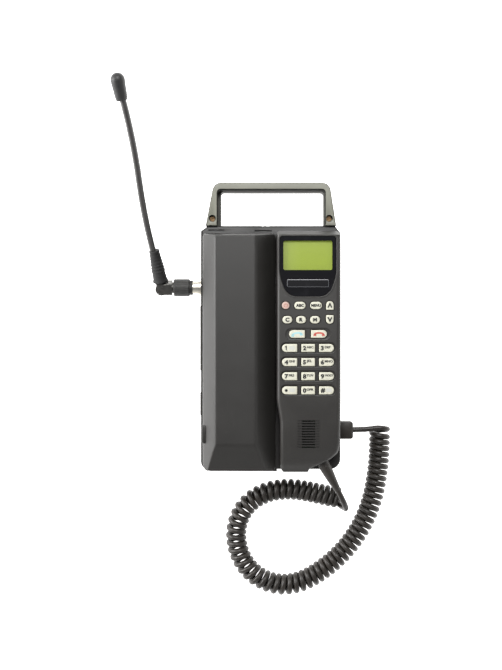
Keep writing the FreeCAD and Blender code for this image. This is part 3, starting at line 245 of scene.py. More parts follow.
def moulded_plastic(name, colour, roughness=0.42, worn=1.0, specular=0.5):
    """Satin moulded plastic: fine grain, uneven tone, handling scratches and dust."""
    made = Finish(name, colour, roughness, specular=specular)
    made.tint(made.span(made.noise(28, 4), 0.35, 0.7, 0, 0.5), toned(colour, 1.35))
    made.polish(made.noise(55, 4), 0.12)
    patches = made.span(made.noise(35, 2), 0.5, 0.6)
    for scale, turn, share in (((2400, 45, 200), 0.5, 0.30), ((60, 2600, 200), -0.22, 0.25)):
        streaks = made.stretched(scale, (0, 0, turn))
        fine = made.span(made.noise(1.0, 2, streaks), 0.70, 0.73)
        made.tint(made.times(made.times(fine, patches), share * worn), toned(colour, 5))
    spots = made.span(made.cell_distance(620), 0.10, 0.04)
    where_dusty = made.span(made.noise(42, 3), 0.56, 0.66)
    made.tint(made.times(made.times(spots, where_dusty), 0.55 * worn), toned(colour, 7))
    made.emboss(made.noise(2600, 2), 0.012 * MM)
    made.emboss(made.noise(700, 3), 0.010 * MM)
    return made.finish()


def soft_rubber(name, colour, roughness=0.62, specular=0.4):
    """Satin rubber, uneven in tone."""
    made = Finish(name, colour, roughness, specular=specular)
    made.tint(made.span(made.noise(60, 4), 0.4, 0.7, 0, 0.5), toned(colour, 1.8))
    made.polish(made.noise(90, 3), 0.12)
    made.emboss(made.noise(1800, 2), 0.02 * MM)
    return made.finish()


def whip_gloss(name, colour):
    """Hard shiny tube that mirrors its surroundings, with faint wipe marks along it."""
    made = Finish(name, colour, 0.3)
    made.shader.inputs["IOR"].default_value = 1.9
    made.tint(made.span(made.noise(60, 4), 0.4, 0.7, 0, 0.4), toned(colour, 1.6))
    marks = made.stretched((700, 20, 400), (0, 0, 0.15))
    made.polish(made.span(made.noise(1.0, 2, marks), 0.5, 0.75), 0.2)
    made.emboss(made.noise(1200, 2), 0.006 * MM)
    return made.finish()


def plated_metal(name, colour, roughness=0.25, stain=0.35):
    """Plated metal with darker stains."""
    made = Finish(name, colour, roughness, metallic=1.0)
    made.tint(made.span(made.noise(160, 5), 0.45, 0.75, 0, stain), toned(colour, 0.45))
    made.polish(made.noise(300, 4), 0.25)
    made.emboss(made.noise(2200, 2), 0.006 * MM)
    return made.finish()


def key_plastic(name, colour):
    """Cream key cap, a little darker where fingers press."""
    made = Finish(name, colour, 0.38)
    made.tint(made.span(made.noise(120, 4), 0.45, 0.75, 0, 0.35), toned(colour, 0.82))
    made.polish(made.noise(200, 3), 0.12)
    made.emboss(made.noise(1600, 2), 0.012 * MM)
    return made.finish()


def print_ink(name, colour):
    """Matt ink."""
    made = Finish(name, colour, 0.5)
    made.polish(made.noise(900, 2), 0.2)
    return made.finish()


def window_sheet(name, colour):
    """Glossy sheet with a black print behind it and faint wipe marks."""
    made = Finish(name, colour, 0.07, coat=0.6, coat_roughness=0.04)
    marks = made.stretched((30, 700, 30), (0, 0, 0.5))
    made.polish(made.span(made.noise(1.0, 2, marks), 0.6, 0.75), 0.10)
    made.tint(made.span(made.noise(90, 4), 0.55, 0.8, 0, 0.5), toned(colour, 3))
    return made.finish()


def clear_pane(name):
    """The clear part of the window: mostly see-through, with a gloss of its own."""
    made = Finish(name, (0.55, 0.70, 0.10), 0.06, specular=0.25)
    made.shader.inputs["Alpha"].default_value = 0.06
    made.polish(made.noise(260, 3), 0.05)
    return made.finish()


def display_glass(name, colour):
    """Yellow-green display, with painted highlights that make it paler towards its left side and its top."""
    made = Finish(name, colour, 0.35)
    across = node(made.tree, "ShaderNodeSeparateXYZ", (-1200, 300))
    link(made.tree, made.where, across.inputs[0])
    # Painted highlight: the display is tinted lighter towards its left side and its top, as if light fell
    # there
    left_painted_highlight = made.span(across.outputs["X"], 26 * MM, 9 * MM)
    made.tint(made.times(left_painted_highlight, 0.6), (0.27, 0.32, 0.085))
    top_painted_highlight = made.span(across.outputs["Y"], 80 * MM, 96 * MM)
    made.tint(made.times(top_painted_highlight, 0.3), (0.25, 0.30, 0.07))
    made.tint(made.span(made.noise(45, 4), 0.4, 0.75, 0, 0.3), toned(colour, 0.9))
    made.emboss(made.noise(1500, 2), 0.004 * MM)
    return made.finish()


def circuit_board(name):
    """Lacquered board with a pattern of tracks."""
    made = Finish(name, (0.02, 0.13, 0.05), 0.35, coat=0.3)
    tracks = made.cell_distance(260)
    made.tint(made.span(tracks, 0.12, 0.10, 0, 0.6), (0.10, 0.30, 0.12))
    made.emboss(tracks, 0.02 * MM)
    return made.finish()


def foot_rubber(name):
    """Grainy matt rubber."""
    made = Finish(name, (0.02, 0.02, 0.02), 0.9)
    made.emboss(made.noise(1500, 3), 0.05 * MM)
    return made.finish()


finishes = {}


def make_finishes():
    """Make every finish, by the name that the pieces ask for it with."""
    tone = colours()
    casing = tuple(tone.casing)
    handle = tuple(tone.handle)
    rubber = tuple(tone.rubber)
    finishes.update({
        "dark_plastic": moulded_plastic("casing plastic", casing),
        "handset_plastic": moulded_plastic("handset plastic", toned(casing, 1.35), 0.42, 0.5),
        # A darker copy of the casing plastic for parts in shade: painted shade
        "painted_shade_plastic": moulded_plastic("shadowed plastic", toned(casing, 0.6), 0.5, 0.4),
        "ledge_plastic": moulded_plastic("ledge plastic", toned(casing, 0.7), 0.6, 0.4, 0.1),
        "handle_plastic": moulded_plastic("handle plastic", handle, 0.40, 0.35),
        # The handle's sides get a much darker, duller copy of its plastic: painted shade
        "handle_side_painted_shade": moulded_plastic("handle's shaded sides", toned(handle, 0.09), 0.7, 0.3, 0.06),
        "handle_rear": moulded_plastic("handle's rear half", toned(handle, 0.25), 0.5, 0.3),
        "cord_plastic": soft_rubber("cord plastic", tuple(tone.cord), 0.36, 0.45),
        "black_rubber": soft_rubber("black rubber", rubber),
        "cap_rubber": soft_rubber("antenna cap rubber", rubber, 0.4, 0.5),
        "mat_rubber": soft_rubber("mat rubber", (0.06, 0.06, 0.06)),
        "key_cap": key_plastic("key plastic", tuple(tone.key_cap)),
        "key_edge": key_plastic("key edges", tuple(tone.key_edge)),
        "power_cap": key_plastic("power key plastic", tuple(tone.power_key)),
        "legend": print_ink("legend ink", tuple(tone.legend)),
        "call_sign": print_ink("call sign ink", tuple(tone.call_sign)),
        "end_sign": print_ink("end sign ink", tuple(tone.end_sign)),
        "worn_patch": print_ink("pale patch", (0.50, 0.505, 0.46)),
        "power_sign": print_ink("power sign ink", (0.40, 0.13, 0.09)),
        "window": window_sheet("window print", tuple(tone.window)),
        "gloss_black": window_sheet("nameplate lacquer", (0.012, 0.012, 0.013)),
        "pane": clear_pane("window pane"),
        # A pale grey ring round the nameplate: a painted highlight
        "pale_line": print_ink("pale line", (0.10, 0.105, 0.115)),
        "lcd_green": display_glass("display", tuple(tone.display)),
        "board": circuit_board("circuit board"),
        "alloy": plated_metal("chassis alloy", (0.55, 0.56, 0.57), 0.35),
        "tinplate": plated_metal("tinplate", (0.52, 0.52, 0.50), 0.3),
        "cell_can": plated_metal("cell can", (0.35, 0.38, 0.45), 0.3),
        "steel": plated_metal("steel", (0.55, 0.54, 0.52), 0.25),
        "brass": plated_metal("brass", tuple(tone.brass), 0.28),
        "bright_brass": plated_metal("bright plating", (0.80, 0.76, 0.66), 0.2),
        "dark_nickel": plated_metal("dark nickel", (0.10, 0.098, 0.092), 0.3),
        "old_brass": plated_metal("worn brass", (0.20, 0.13, 0.07), 0.4, 0.6),
        "whip_gloss": whip_gloss("whip tube", (0.016, 0.0145, 0.013)),
        "black_metal": plated_metal("black plating", (0.045, 0.044, 0.042), 0.42, 0.5),
        "foot": foot_rubber("foot rubber"),
    })
    # The black plating is worn paint over metal
    finishes["black_metal"].node_tree.nodes["Principled BSDF"].inputs["Metallic"].default_value = 0.4


# Meshes

# Points nearer than this are made one
WELD = 0.001 * MM


def put(name, mesh):
    """An object for a mesh, a curve or a text, in the scene."""
    item = bpy.data.objects.new(name, mesh)
    bpy.context.scene.collection.objects.link(item)
    return item


def from_bmesh(name, bm):
    """An object for a mesh under construction."""
    mesh = bpy.data.meshes.new(name)
    bm.to_mesh(mesh)
    bm.free()
    return put(name, mesh)


def smooth(item, degrees):
    """Shade smooth, but keep edges sharper than the angle."""
    mesh = item.data
    mesh.shade_smooth()
    bm = bmesh.new()
    bm.from_mesh(mesh)
    for edge in bm.edges:
        if len(edge.link_faces) == 2 and edge.calc_face_angle(0) > math.radians(degrees):
            edge.smooth = False
    bm.to_mesh(mesh)
    bm.free()
    return item


def turn_faces(item, operator):
    """Run one of the mesh operators that turn faces."""
    bm = bmesh.new()
    bm.from_mesh(item.data)
    operator(bm, faces=bm.faces)
    bm.to_mesh(item.data)
    bm.free()
    return item


def bevel(item, width, segments, degrees):
    """Round the edges that are sharper than the angle."""
    modifier = item.modifiers.new("edges", "BEVEL")
    modifier.width = width
    modifier.segments = segments
    modifier.limit_method = "ANGLE"
    modifier.angle_limit = math.radians(degrees)
    modifier.use_clamp_overlap = True
    modifier.harden_normals = False
    return item


def settle(item):
    """Turn an object with modifiers into its plain mesh."""
    bpy.context.view_layer.update()
    graph = bpy.context.evaluated_depsgraph_get()
    mesh = bpy.data.meshes.new_from_object(item.evaluated_get(graph))
    item.modifiers.clear()
    old = item.data
    if item.type == "MESH":
        item.data = mesh
        bpy.data.meshes.remove(old)
        return item
    name = item.name
    bpy.data.objects.remove(item)
    return put(name, mesh)


def cut_away(item, cutter):
    """Take one closed mesh out of another and drop it."""
    modifier = item.modifiers.new("cut", "BOOLEAN")
    modifier.operation = "DIFFERENCE"
    modifier.solver = "EXACT"
    modifier.object = cutter
    settle(item)
    bpy.data.objects.remove(cutter)
    return item


def join(name, items):
    """One mesh of several, keeping their materials."""
    bm = bmesh.new()
    materials = []
    for item in items:
        slots = list(item.data.materials) or [None]
        first = len(bm.faces)
        bm.from_mesh(item.data)
        bm.faces.ensure_lookup_table()
        for face in bm.faces[first:]:
            material = slots[min(face.material_index, len(slots) - 1)]
            if material not in materials:
                materials.append(material)
            face.material_index = materials.index(material)
    joined = from_bmesh(name, bm)
    for material in materials:
        joined.data.materials.append(material)
    for item in items:
        bpy.data.objects.remove(item)
    return joined


def paint(item, *names):
    """Give an object's mesh its finishes."""
    item.data.materials.clear()
    for name in names:
        item.data.materials.append(finishes[name])
    return item


def paint_where(item, first, second, test):
    """Give the faces that pass a test the second finish, and the others the first."""
    paint(item, first, second)
    for face in item.data.polygons:
        if test(face):
            face.material_index = 1
    return item


def dress(item, finish, body, slot, *nodes):
    """Give a finished piece its material and body, and hide the nodes it stands for; the slot is not used."""
    if finish is not None:
        paint(item, finish)
    if nodes:
        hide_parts(*nodes)
    if body is not None:
        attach(item, body)
    return item


def merged_copy(node_name, name):
    """The CAD node's mesh with its loose triangles joined and its flat faces made whole."""
    bm = bmesh.new()
    bm.from_mesh(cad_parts[node_name].data)
    bm.transform(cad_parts[node_name].matrix_world)
    bmesh.ops.remove_doubles(bm, verts=bm.verts, dist=0.002 * MM)
    bmesh.ops.dissolve_limit(bm, angle_limit=math.radians(0.6), verts=bm.verts, edges=bm.edges,
                             delimit={"NORMAL"})
    return from_bmesh(name, bm)


def eased(node_name, finish, body, slot, width=None):
    """A CAD node's own shape with its sharp edges eased."""
    item = merged_copy(node_name, node_name + "_piece")
    bevel(item, width or sizes().edge, 2, 38)
    settle(item)
    smooth(item, 30)
    return dress(item, finish, body, slot, node_name)


def rounded_loop(width, height, corners, centre=(0, 0), grow=0.0, steps=6):
    """Points round an outline whose corners are nearly square (0) or half round (1), anticlockwise."""
    half_width = width / 2 + grow
    half_height = height / 2 + grow
    soft = min(half_width, half_height)
    points = []
    for (sx, sy), corner in zip(((-1, -1), (1, -1), (1, 1), (-1, 1)), corners):
        radius = soft if corner == "1" else min(soft, max(0.25, 0.7 + grow))
        middle_x = centre[0] + sx * (half_width - radius)
        middle_y = centre[1] + sy * (half_height - radius)
        start = math.atan2(sy, sx) - math.pi / 4
        for i in range(steps + 1):
            angle = start + math.pi / 2 * i / steps
            points.append((middle_x + radius * math.cos(angle), middle_y + radius * math.sin(angle)))
    return points


def skinned(loops, closed=True):
    """A mesh under construction: a skin over closed loops of vectors, of equal counts."""
    bm = bmesh.new()
    rings = [[bm.verts.new(point) for point in loop] for loop in loops]
    count = len(rings[0])
    for lower, upper in zip(rings, rings[1:]):
        for i in range(count):
            after = (i + 1) % count
            bm.faces.new((lower[i], lower[after], upper[after], upper[i]))
    if closed:
        bm.faces.new(rings[0][::-1])
        bm.faces.new(rings[-1])
    return bm


def stacked_loops(name, loops, closed=True):
    """A skin over closed loops of equal counts, in millimetres, from the lowest to the highest."""
    bm = skinned([[Vector(point) * MM for point in loop] for loop in loops], closed)
    bmesh.ops.remove_doubles(bm, verts=bm.verts, dist=WELD)
    return from_bmesh(name, bm)


def prism(name, outline, low, high):
    """A closed outline in millimetres, from one level to another."""
    return stacked_loops(name, [[(x, y, low) for x, y in outline], [(x, y, high) for x, y in outline]])


def turned(name, profile, steps, bored=False):
    """A profile of (radius, along) in millimetres turned about Z; a bored one closes on itself."""
    loops = []
    for radius, along in profile + (profile[:1] if bored else []):
        angles = [2 * math.pi * i / steps for i in range(steps)]
        loops.append([(radius * math.cos(angle), radius * math.sin(angle), along) for angle in angles])
    return stacked_loops(name, loops, not bored)


def move_mesh(item, matrix):
    """Move the mesh and leave its object at the origin."""
    item.data.transform(matrix)
    return item


def point_along(direction, at):
    """A matrix that lays Z along a direction, at a place."""
    turn = direction.to_track_quat("Z", "Y").to_matrix().to_4x4()
    return Matrix.Translation(at) @ turn


# Geometry Nodes trees

class Tree:
    """A Geometry Nodes tree with named inputs."""

    def __init__(self, name):
        self.group = bpy.data.node_groups.new(name, "GeometryNodeTree")
        self.group.interface.new_socket("Geometry", in_out="INPUT", socket_type="NodeSocketGeometry")
        self.group.interface.new_socket("Geometry", in_out="OUTPUT", socket_type="NodeSocketGeometry")
        self.start = self.group.nodes.new("NodeGroupInput")
        self.inputs = {}
        self.column = 0

    def number(self, name, value, whole=False):
        """Add a named input and give its socket."""
        kind = "NodeSocketInt" if whole else "NodeSocketFloat"
        socket = self.group.interface.new_socket(name, in_out="INPUT", socket_type=kind)
        socket.default_value = value
        self.inputs[name] = (socket.identifier, value)
        return self.start.outputs[name]

    def add(self, kind, out=0, **settings):
        """Add a node; settings are its options, or its inputs by name in lower case."""
        item = self.group.nodes.new(kind)
        self.column += 180
        item.location = (self.column, 0)
        sockets = {socket.name.lower().replace(" ", "_"): socket for socket in reversed(item.inputs)}
        for name, value in settings.items():
            if hasattr(item, name) and name not in sockets:
                setattr(item, name, value)
                sockets = {socket.name.lower().replace(" ", "_"): socket
                           for socket in reversed(item.inputs) if socket.enabled}
                continue
            self.feed(sockets[name], value)
        return item.outputs[out]

    def feed(self, socket, value):
        """Link a socket, or several to one that takes them, or set a value."""
        if isinstance(value, (list, tuple)) and value and hasattr(value[0], "is_output"):
            for one in value:
                self.group.links.new(one, socket)
        elif hasattr(value, "is_output"):
            self.group.links.new(value, socket)
        else:
            socket.default_value = value

    def maths(self, operation, first, second=0.0):
        """Reckon with two numbers or sockets."""
        item = self.group.nodes.new("ShaderNodeMath")
        item.operation = operation
        self.column += 180
        item.location = (self.column, -200)
        self.feed(item.inputs[0], first)
        self.feed(item.inputs[1], second)
        return item.outputs[0]

    def vector(self, x=0.0, y=0.0, z=0.0):
        """A vector of numbers or sockets."""
        return self.add("ShaderNodeCombineXYZ", x=x, y=y, z=z)

    def end(self, geometry, finish):
        """Realize the instances, set the material and close the tree."""
        real = self.add("GeometryNodeRealizeInstances", geometry=geometry)
        done = self.add("GeometryNodeSetMaterial", geometry=real, material=finishes[finish])
        out = self.group.nodes.new("NodeGroupOutput")
        self.group.links.new(done, out.inputs[0])


def grown(name, tree, points=(), **values):
    """Run a tree on a few points and keep its result as a plain mesh."""
    mesh = bpy.data.meshes.new(name)
    mesh.from_pydata([Vector(point) * MM for point in points] or [(0, 0, 0)], [], [])
    item = put(name, mesh)
    modifier = item.modifiers.new("nodes", "NODES")
    modifier.node_group = tree.group
    for input_name, (identifier, value) in tree.inputs.items():
        modifier[identifier] = values.get(input_name.lower().replace(" ", "_"), value)
    return settle(item)


def ribs_tree():
    """Rounded rings along Z, each a little smaller than the one before."""
    tree = Tree("ribs")
    count = tree.number("Ribs", 8, whole=True)
    first = tree.number("First", 2 * MM)
    pitch = tree.number("Pitch", 2.9 * MM)
    radius = tree.number("Radius", 5 * MM)
    taper = tree.number("Taper", 0.02)
    depth = tree.number("Depth", 1 * MM)
    height = tree.number("Height", 0.7 * MM)
    points = tree.add("GeometryNodeMeshLine", count=count, start_location=tree.vector(z=first),
                      offset=tree.vector(z=pitch))
    line = tree.add("GeometryNodeCurvePrimitiveCircle", resolution=40, radius=radius)
    bead = tree.add("GeometryNodeCurvePrimitiveCircle", resolution=10, radius=1.0)
    bead = tree.add("GeometryNodeTransform", geometry=bead, scale=tree.vector(height, depth, 1.0))
    ring = tree.add("GeometryNodeCurveToMesh", curve=line, profile_curve=bead)
    place = tree.add("GeometryNodeInputIndex")
    shrink = tree.maths("SUBTRACT", 1.0, tree.maths("MULTIPLY", place, taper))
    rings = tree.add("GeometryNodeInstanceOnPoints", points=points, instance=ring,
                     scale=tree.vector(shrink, shrink, 1.0))
    tree.end(rings, "black_rubber")
    return tree


def screws_tree(finish):
    """Round-headed screws at the object's points, with a slot or a cross in the head."""
    tree = Tree("screws " + finish)
    head = tree.number("Head radius", 2.6 * MM)
    thick = tree.number("Head height", 1.8 * MM)
    shank = tree.number("Shank radius", 1.5 * MM)
    reach = tree.number("Shank length", 10 * MM)
    wide = tree.number("Slot width", 0.7 * MM)
    deep = tree.number("Slot depth", 0.8 * MM)
    turn = tree.number("Slot turn", 0.3)
    crosses = tree.number("Cross", 0, whole=True)
    facing = tree.number("Facing down", 0, whole=True)
    cap = tree.add("GeometryNodeMeshCylinder", vertices=40, radius=head, depth=thick)
    cap = tree.add("GeometryNodeTransform", geometry=cap,
                   translation=tree.vector(z=tree.maths("MULTIPLY", thick, -0.5)))
    across = tree.maths("MULTIPLY", head, 3.0)
    arm = tree.maths("MULTIPLY", head, 1.1)
    tall = tree.maths("MULTIPLY", deep, 2.0)
    bar = tree.add("GeometryNodeMeshCube", size=tree.vector(across, wide, tall))
    upright = tree.add("GeometryNodeMeshCube", size=tree.vector(wide, arm, tall))
    level_arm = tree.add("GeometryNodeMeshCube", size=tree.vector(arm, wide, tall))
    cross = tree.add("GeometryNodeJoinGeometry", geometry=[level_arm, upright])
    mark = tree.add("GeometryNodeSwitch", input_type="GEOMETRY", switch=crosses, false=bar, true=cross)
    mark = tree.add("GeometryNodeTransform", geometry=mark, rotation=tree.vector(z=turn))
    cut = tree.group.nodes.new("GeometryNodeMeshBoolean")
    cut.operation = "DIFFERENCE"
    tree.group.links.new(cap, cut.inputs[0])
    tree.group.links.new(mark, cut.inputs[1])
    rod = tree.add("GeometryNodeMeshCylinder", vertices=20, radius=shank, depth=reach)
    drop = tree.maths("ADD", thick, tree.maths("MULTIPLY", reach, 0.5))
    rod = tree.add("GeometryNodeTransform", geometry=rod,
                   translation=tree.vector(z=tree.maths("MULTIPLY", drop, -1.0)))
    screw = tree.add("GeometryNodeJoinGeometry", geometry=[cut.outputs[0], rod])
    flip = tree.maths("MULTIPLY", facing, math.pi)
    screws = tree.add("GeometryNodeInstanceOnPoints", points=tree.start.outputs[0], instance=screw,
                      rotation=tree.vector(x=flip))
    tree.end(screws, finish)
    return tree


def slots_tree():
    """A row of bars, to cut a grille with."""
    tree = Tree("grille bars")
    count = tree.number("Slots", 11, whole=True)
    pitch = tree.number("Pitch", 2.26 * MM)
    length = tree.number("Length", 14 * MM)
    width = tree.number("Width", 1.1 * MM)
    depth = tree.number("Depth", 20 * MM)
    row = tree.add("GeometryNodeMeshLine", count=count,
                   offset=tree.vector(y=tree.maths("MULTIPLY", pitch, -1.0)))
    bar = tree.add("GeometryNodeMeshCube", size=tree.vector(length, width, depth))
    bars = tree.add("GeometryNodeInstanceOnPoints", points=row, instance=bar)
    tree.end(bars, "painted_shade_plastic")
    return tree


# Curly cord

# The coil's middle line from the handset end to the plug end, in metres
COIL_ROUTE = [(0.066, -0.1362), (0.0535, -0.134), (0.0375, -0.1303), (0.018, -0.1272), (-0.0037, -0.1303),
              (-0.021, -0.1415), (-0.0305, -0.1605), (-0.029, -0.1835), (-0.017, -0.2035), (0.0035, -0.2144),
              (0.0255, -0.2137), (0.047, -0.2023), (0.068, -0.1842), (0.0842, -0.1614), (0.0941, -0.1365),
              (0.0986, -0.1105), (0.1002, -0.0898), (0.1003, -0.0717)]
COIL_LEVEL = 9.6 * MM
# The last curl before the plug stands off the others, over the last stretch of the middle line
END_STRETCH = 8 * MM
END_OPENING = 1.35
RELIEF_ROOT = Vector((45.9, -98.6, 41.5)) * MM
RELIEF_WAY = Vector((0.472, -0.88, -0.12)).normalized()
RELIEF_LENGTH = 29 * MM
HANDSET_LEAD = [(0.0630, -0.1305, 0.0371), (0.0665, -0.1382, 0.0345), (0.0680, -0.1428, 0.0258),
                (0.0676, -0.1438, 0.0175)]
# The lead joins the coil where the first curl already runs down its outer side
FIRST_STEP = 5
PLUG_FACE = Vector((75.1, -73.3, 15.5)) * MM
PLUG_LEAD = [(0.0955, -0.0716, 0.0163), (0.0885, -0.0732, 0.0155)]
STEPS_PER_CURL = 16
# Points of the curves between two control points
ROUTE_FINENESS = 60
WIRE_FINENESS = 2
# The piece at the handset's end has this many curls; the rest of the coil goes with the casing
HANDSET_END_CURLS = 15


def smooth_line(name, points, resolution):
    """The points that a NURBS curve of order 3 passes through between its control points."""
    curve = bpy.data.curves.new(name, "CURVE")
    curve.dimensions = "3D"
    spline = curve.splines.new("NURBS")
    spline.points.add(len(points) - 1)
    for place, point in zip(spline.points, points):
        place.co = (*point, 1)
    spline.order_u = 3
    spline.use_endpoint_u = True
    spline.resolution_u = resolution
    item = settle(put(name, curve))
    line = [vertex.co.copy() for vertex in item.data.vertices]
    bpy.data.objects.remove(item)
    return line


def coil_control_points():
    """The wire's control points: leads, and a left-handed helix whose curls open in the coil's bends."""
    middle = smooth_line("coil middle line", [(x, y, COIL_LEVEL) for x, y in COIL_ROUTE], ROUTE_FINENESS)
    radius = sizes().curl_radius
    ways = line_ways(middle)
    turns = [0.0]
    for i in range(1, len(middle)):
        run = (middle[i] - middle[i - 1]).length
        bend = ways[i].angle(ways[i - 1], 0) / max(run, 1e-9)
        pitch = sizes().curl_pitch * (1 + sizes().curl_opening * bend * radius)
        if (middle[-1] - middle[i]).length < END_STRETCH:
            pitch *= END_OPENING
        turns.append(turns[-1] + run / pitch)
    scale = sizes().curls / turns[-1]
    turns = [turn * scale for turn in turns]
    # The curve runs a little inside its control points
    reach = radius / (0.75 + 0.25 * math.cos(2 * math.pi / STEPS_PER_CURL))
    points = []
    for step in range(FIRST_STEP, sizes().curls * STEPS_PER_CURL + 1):
        turn = step / STEPS_PER_CURL
        i = min(max(bisect.bisect_left(turns, turn), 1), len(turns) - 1)
        share = (turn - turns[i - 1]) / (turns[i] - turns[i - 1])
        centre = middle[i - 1].lerp(middle[i], share)
        side = Z_AXIS.cross(ways[i - 1].lerp(ways[i], share).normalized())
        angle = 2 * math.pi * turn
        points.append(centre + (Z_AXIS * math.cos(angle) + side * math.sin(angle)) * reach)
    start = RELIEF_ROOT + RELIEF_WAY * (RELIEF_LENGTH - 2 * MM)
    return [start] + [Vector(p) for p in HANDSET_LEAD] + points + [Vector(p) for p in PLUG_LEAD] + [PLUG_FACE]


def tube(name, line, radius, ways, around=12):
    """A round tube along a line of points, with flat ends."""
    side = ways[0].orthogonal().normalized()
    angles = [2 * math.pi * k / around for k in range(around)]
    rings = []
    for point, way in zip(line, ways):
        side = (side - way * side.dot(way)).normalized()
        up = way.cross(side)
        rings.append([point + (side * math.cos(angle) + up * math.sin(angle)) * radius for angle in angles])
    return smooth(from_bmesh(name, skinned(rings)), 50)


def line_ways(line):
    """The direction of a line at each of its points."""
    last = len(line) - 1
    return [(line[min(i + 1, last)] - line[max(i - 1, 0)]).normalized() for i in range(len(line))]


class PHONE_OT_curly_cord(bpy.types.Operator):
    """Wind the curly cord from the handset's strain relief to its plug"""
    bl_idname = "phone.curly_cord"
    bl_label = "Curly cord"

    def execute(self, context):
        points = coil_control_points()
        line = smooth_line("wire middle line", points, WIRE_FINENESS)
        ways = line_ways(line)
        parting = WIRE_FINENESS * (len(HANDSET_LEAD) + STEPS_PER_CURL * HANDSET_END_CURLS)
        wire = sizes().wire
        upper = tube("cord_handset_end", line[:parting + 1], wire / 2, ways[:parting + 1])
        lower = tube("cord_coil", line[parting:], wire / 2, ways[parting:])
        for part in (upper, lower):
            paint(part, "cord_plastic")
            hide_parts("curly_cord")
        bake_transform(upper)
        plug = eased("cord_plug", "cord_plastic", "base", "cord_plastic", 0.3 * MM)
        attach(lower, "base")
        return {"FINISHED"}


# Stage

# The camera looks straight down, a little left of the phone's origin and towards its handle, in metres
CAMERA_PLACE = (-0.0164, 0.0119, 0.810)
CAMERA_LENS = 47.41
CAMERA_SENSOR = 36
CAMERA_NEAR = 0.01
FLOOR_REACH = 3
FLOOR_GLOW = 1.5
# Name, place, what it points at, side and power of each light
LIGHTS = [("upper light", (0.0, 0.62, 1.15), (0.0, 0.0, 0.05), 0.5, 12),
          ("left light", (-1.0, 0.2, 0.45), (0.0, 0.0, 0.0), 0.7, 16)]
WALL_TONE = (0.80, 0.80, 0.80, 1)
CEILING_TONE = (0.10, 0.10, 0.11, 1)
# The walls end and the ceiling begins at these heights of the direction
WALL_END = 0.45
CEILING_START = 0.97


class PHONE_OT_stage(bpy.types.Operator):
    """Set the pale floor, the soft lights and the camera straight above"""
    bl_idname = "phone.stage"
    bl_label = "Stage"

    def execute(self, context):
        scene = context.scene
        scene.view_settings.view_transform = "Standard"
        lens = bpy.data.cameras.new("camera")
        lens.sensor_fit = "VERTICAL"
        lens.sensor_height = CAMERA_SENSOR
        lens.lens = CAMERA_LENS
        lens.clip_start = CAMERA_NEAR
        camera = bpy.data.objects.new("camera", lens)
        camera.location = CAMERA_PLACE
        scene.collection.objects.link(camera)
        scene.camera = camera

        bm = bmesh.new()
        bmesh.ops.create_grid(bm, x_segments=1, y_segments=1, size=FLOOR_REACH)
        floor = from_bmesh("floor", bm)
        made = Finish("floor paint", (0.85, 0.85, 0.85), 0.9, specular=0.1)
        made.tint(made.span(made.noise(6, 2), 0.4, 0.6, 0, 0.2), (0.9, 0.9, 0.9))
        made.shader.inputs["Emission Color"].default_value = (1, 0.99, 0.975, 1)
        made.shader.inputs["Emission Strength"].default_value = FLOOR_GLOW
        floor.data.materials.append(made.finish())

        scene.world = self.studio_world()
        for light in LIGHTS:
            self.soft_box(*light)
        return {"FINISHED"}

    def studio_world(self):
        """Bright walls round a dark ceiling."""
        world = bpy.data.worlds.new("studio")
        world.use_nodes = True
        tree = world.node_tree
        way = node(tree, "ShaderNodeTexCoord", (-800, 0)).outputs["Generated"]
        parts = node(tree, "ShaderNodeSeparateXYZ", (-600, 0))
        link(tree, way, parts.inputs[0])
        height = node(tree, "ShaderNodeMapRange", (-400, 0),
                      {"From Min": WALL_END, "From Max": CEILING_START}, interpolation_type="SMOOTHSTEP")
        link(tree, parts.outputs["Z"], height.inputs["Value"])
        shade = node(tree, "ShaderNodeMix", (-200, 0), data_type="RGBA")
        shade.inputs[MIX_FIRST].default_value = WALL_TONE
        shade.inputs[MIX_SECOND].default_value = CEILING_TONE
        link(tree, height.outputs["Result"], shade.inputs["Factor"])
        link(tree, shade.outputs[MIX_RESULT], tree.nodes["Background"].inputs["Color"])
        return world

    def soft_box(self, name, place, target, side, power):
        """A square area light that points at a target."""
        light = bpy.data.lights.new(name, "AREA")
        light.shape = "SQUARE"
        light.size = side
        light.energy = power
        box = bpy.data.objects.new(name, light)
        box.location = place
        box.rotation_euler = (Vector(target) - Vector(place)).to_track_quat("-Z", "Y").to_euler()
        bpy.context.scene.collection.objects.link(box)


# Casing

# The casing's front is a narrow ledge left of this; it is painted darker, as shade
LEDGE_EDGE = -58.6 * MM
# A face is a ledge, or the handle's front, if its normal rises by more than this
LEDGE_RISE = 0.3
HANDLE_FACE_RISE = 0.93
# Places of the screw heads, in millimetres
HANDLE_SCREWS = [(-50.3, 114.1, 33.3), (52.2, 114.1, 33.3)]
CASE_SCREWS = [(sx * 52, sy * 96, 1) for sx in (-1, 1) for sy in (-1, 1)]
HANDSET_SCREWS = [(13, 58.5, 36.6), (52, 58.5, 36.6), (15, -50, 36.6), (50.5, -50, 36.6)]


class PHONE_OT_casing(bpy.types.Operator):
    """Dress the casing halves and the rubber covers of the side ports"""
    bl_idname = "phone.casing"
    bl_label = "Casing"

    def execute(self, context):
        eased("rear_casing", "dark_plastic", "base", "dark_plastic")
        front = eased("front_casing", "dark_plastic", "base", "dark_plastic", 0.35 * MM)
        # Painted shade: the ledge faces get a darker, duller copy of the casing plastic
        paint_where(front, "dark_plastic", "ledge_plastic",
                    lambda face: face.center.x < LEDGE_EDGE and face.normal.z > LEDGE_RISE)
        eased("port_covers", "black_rubber", "base", "black_rubber", 0.3 * MM)
        return {"FINISHED"}


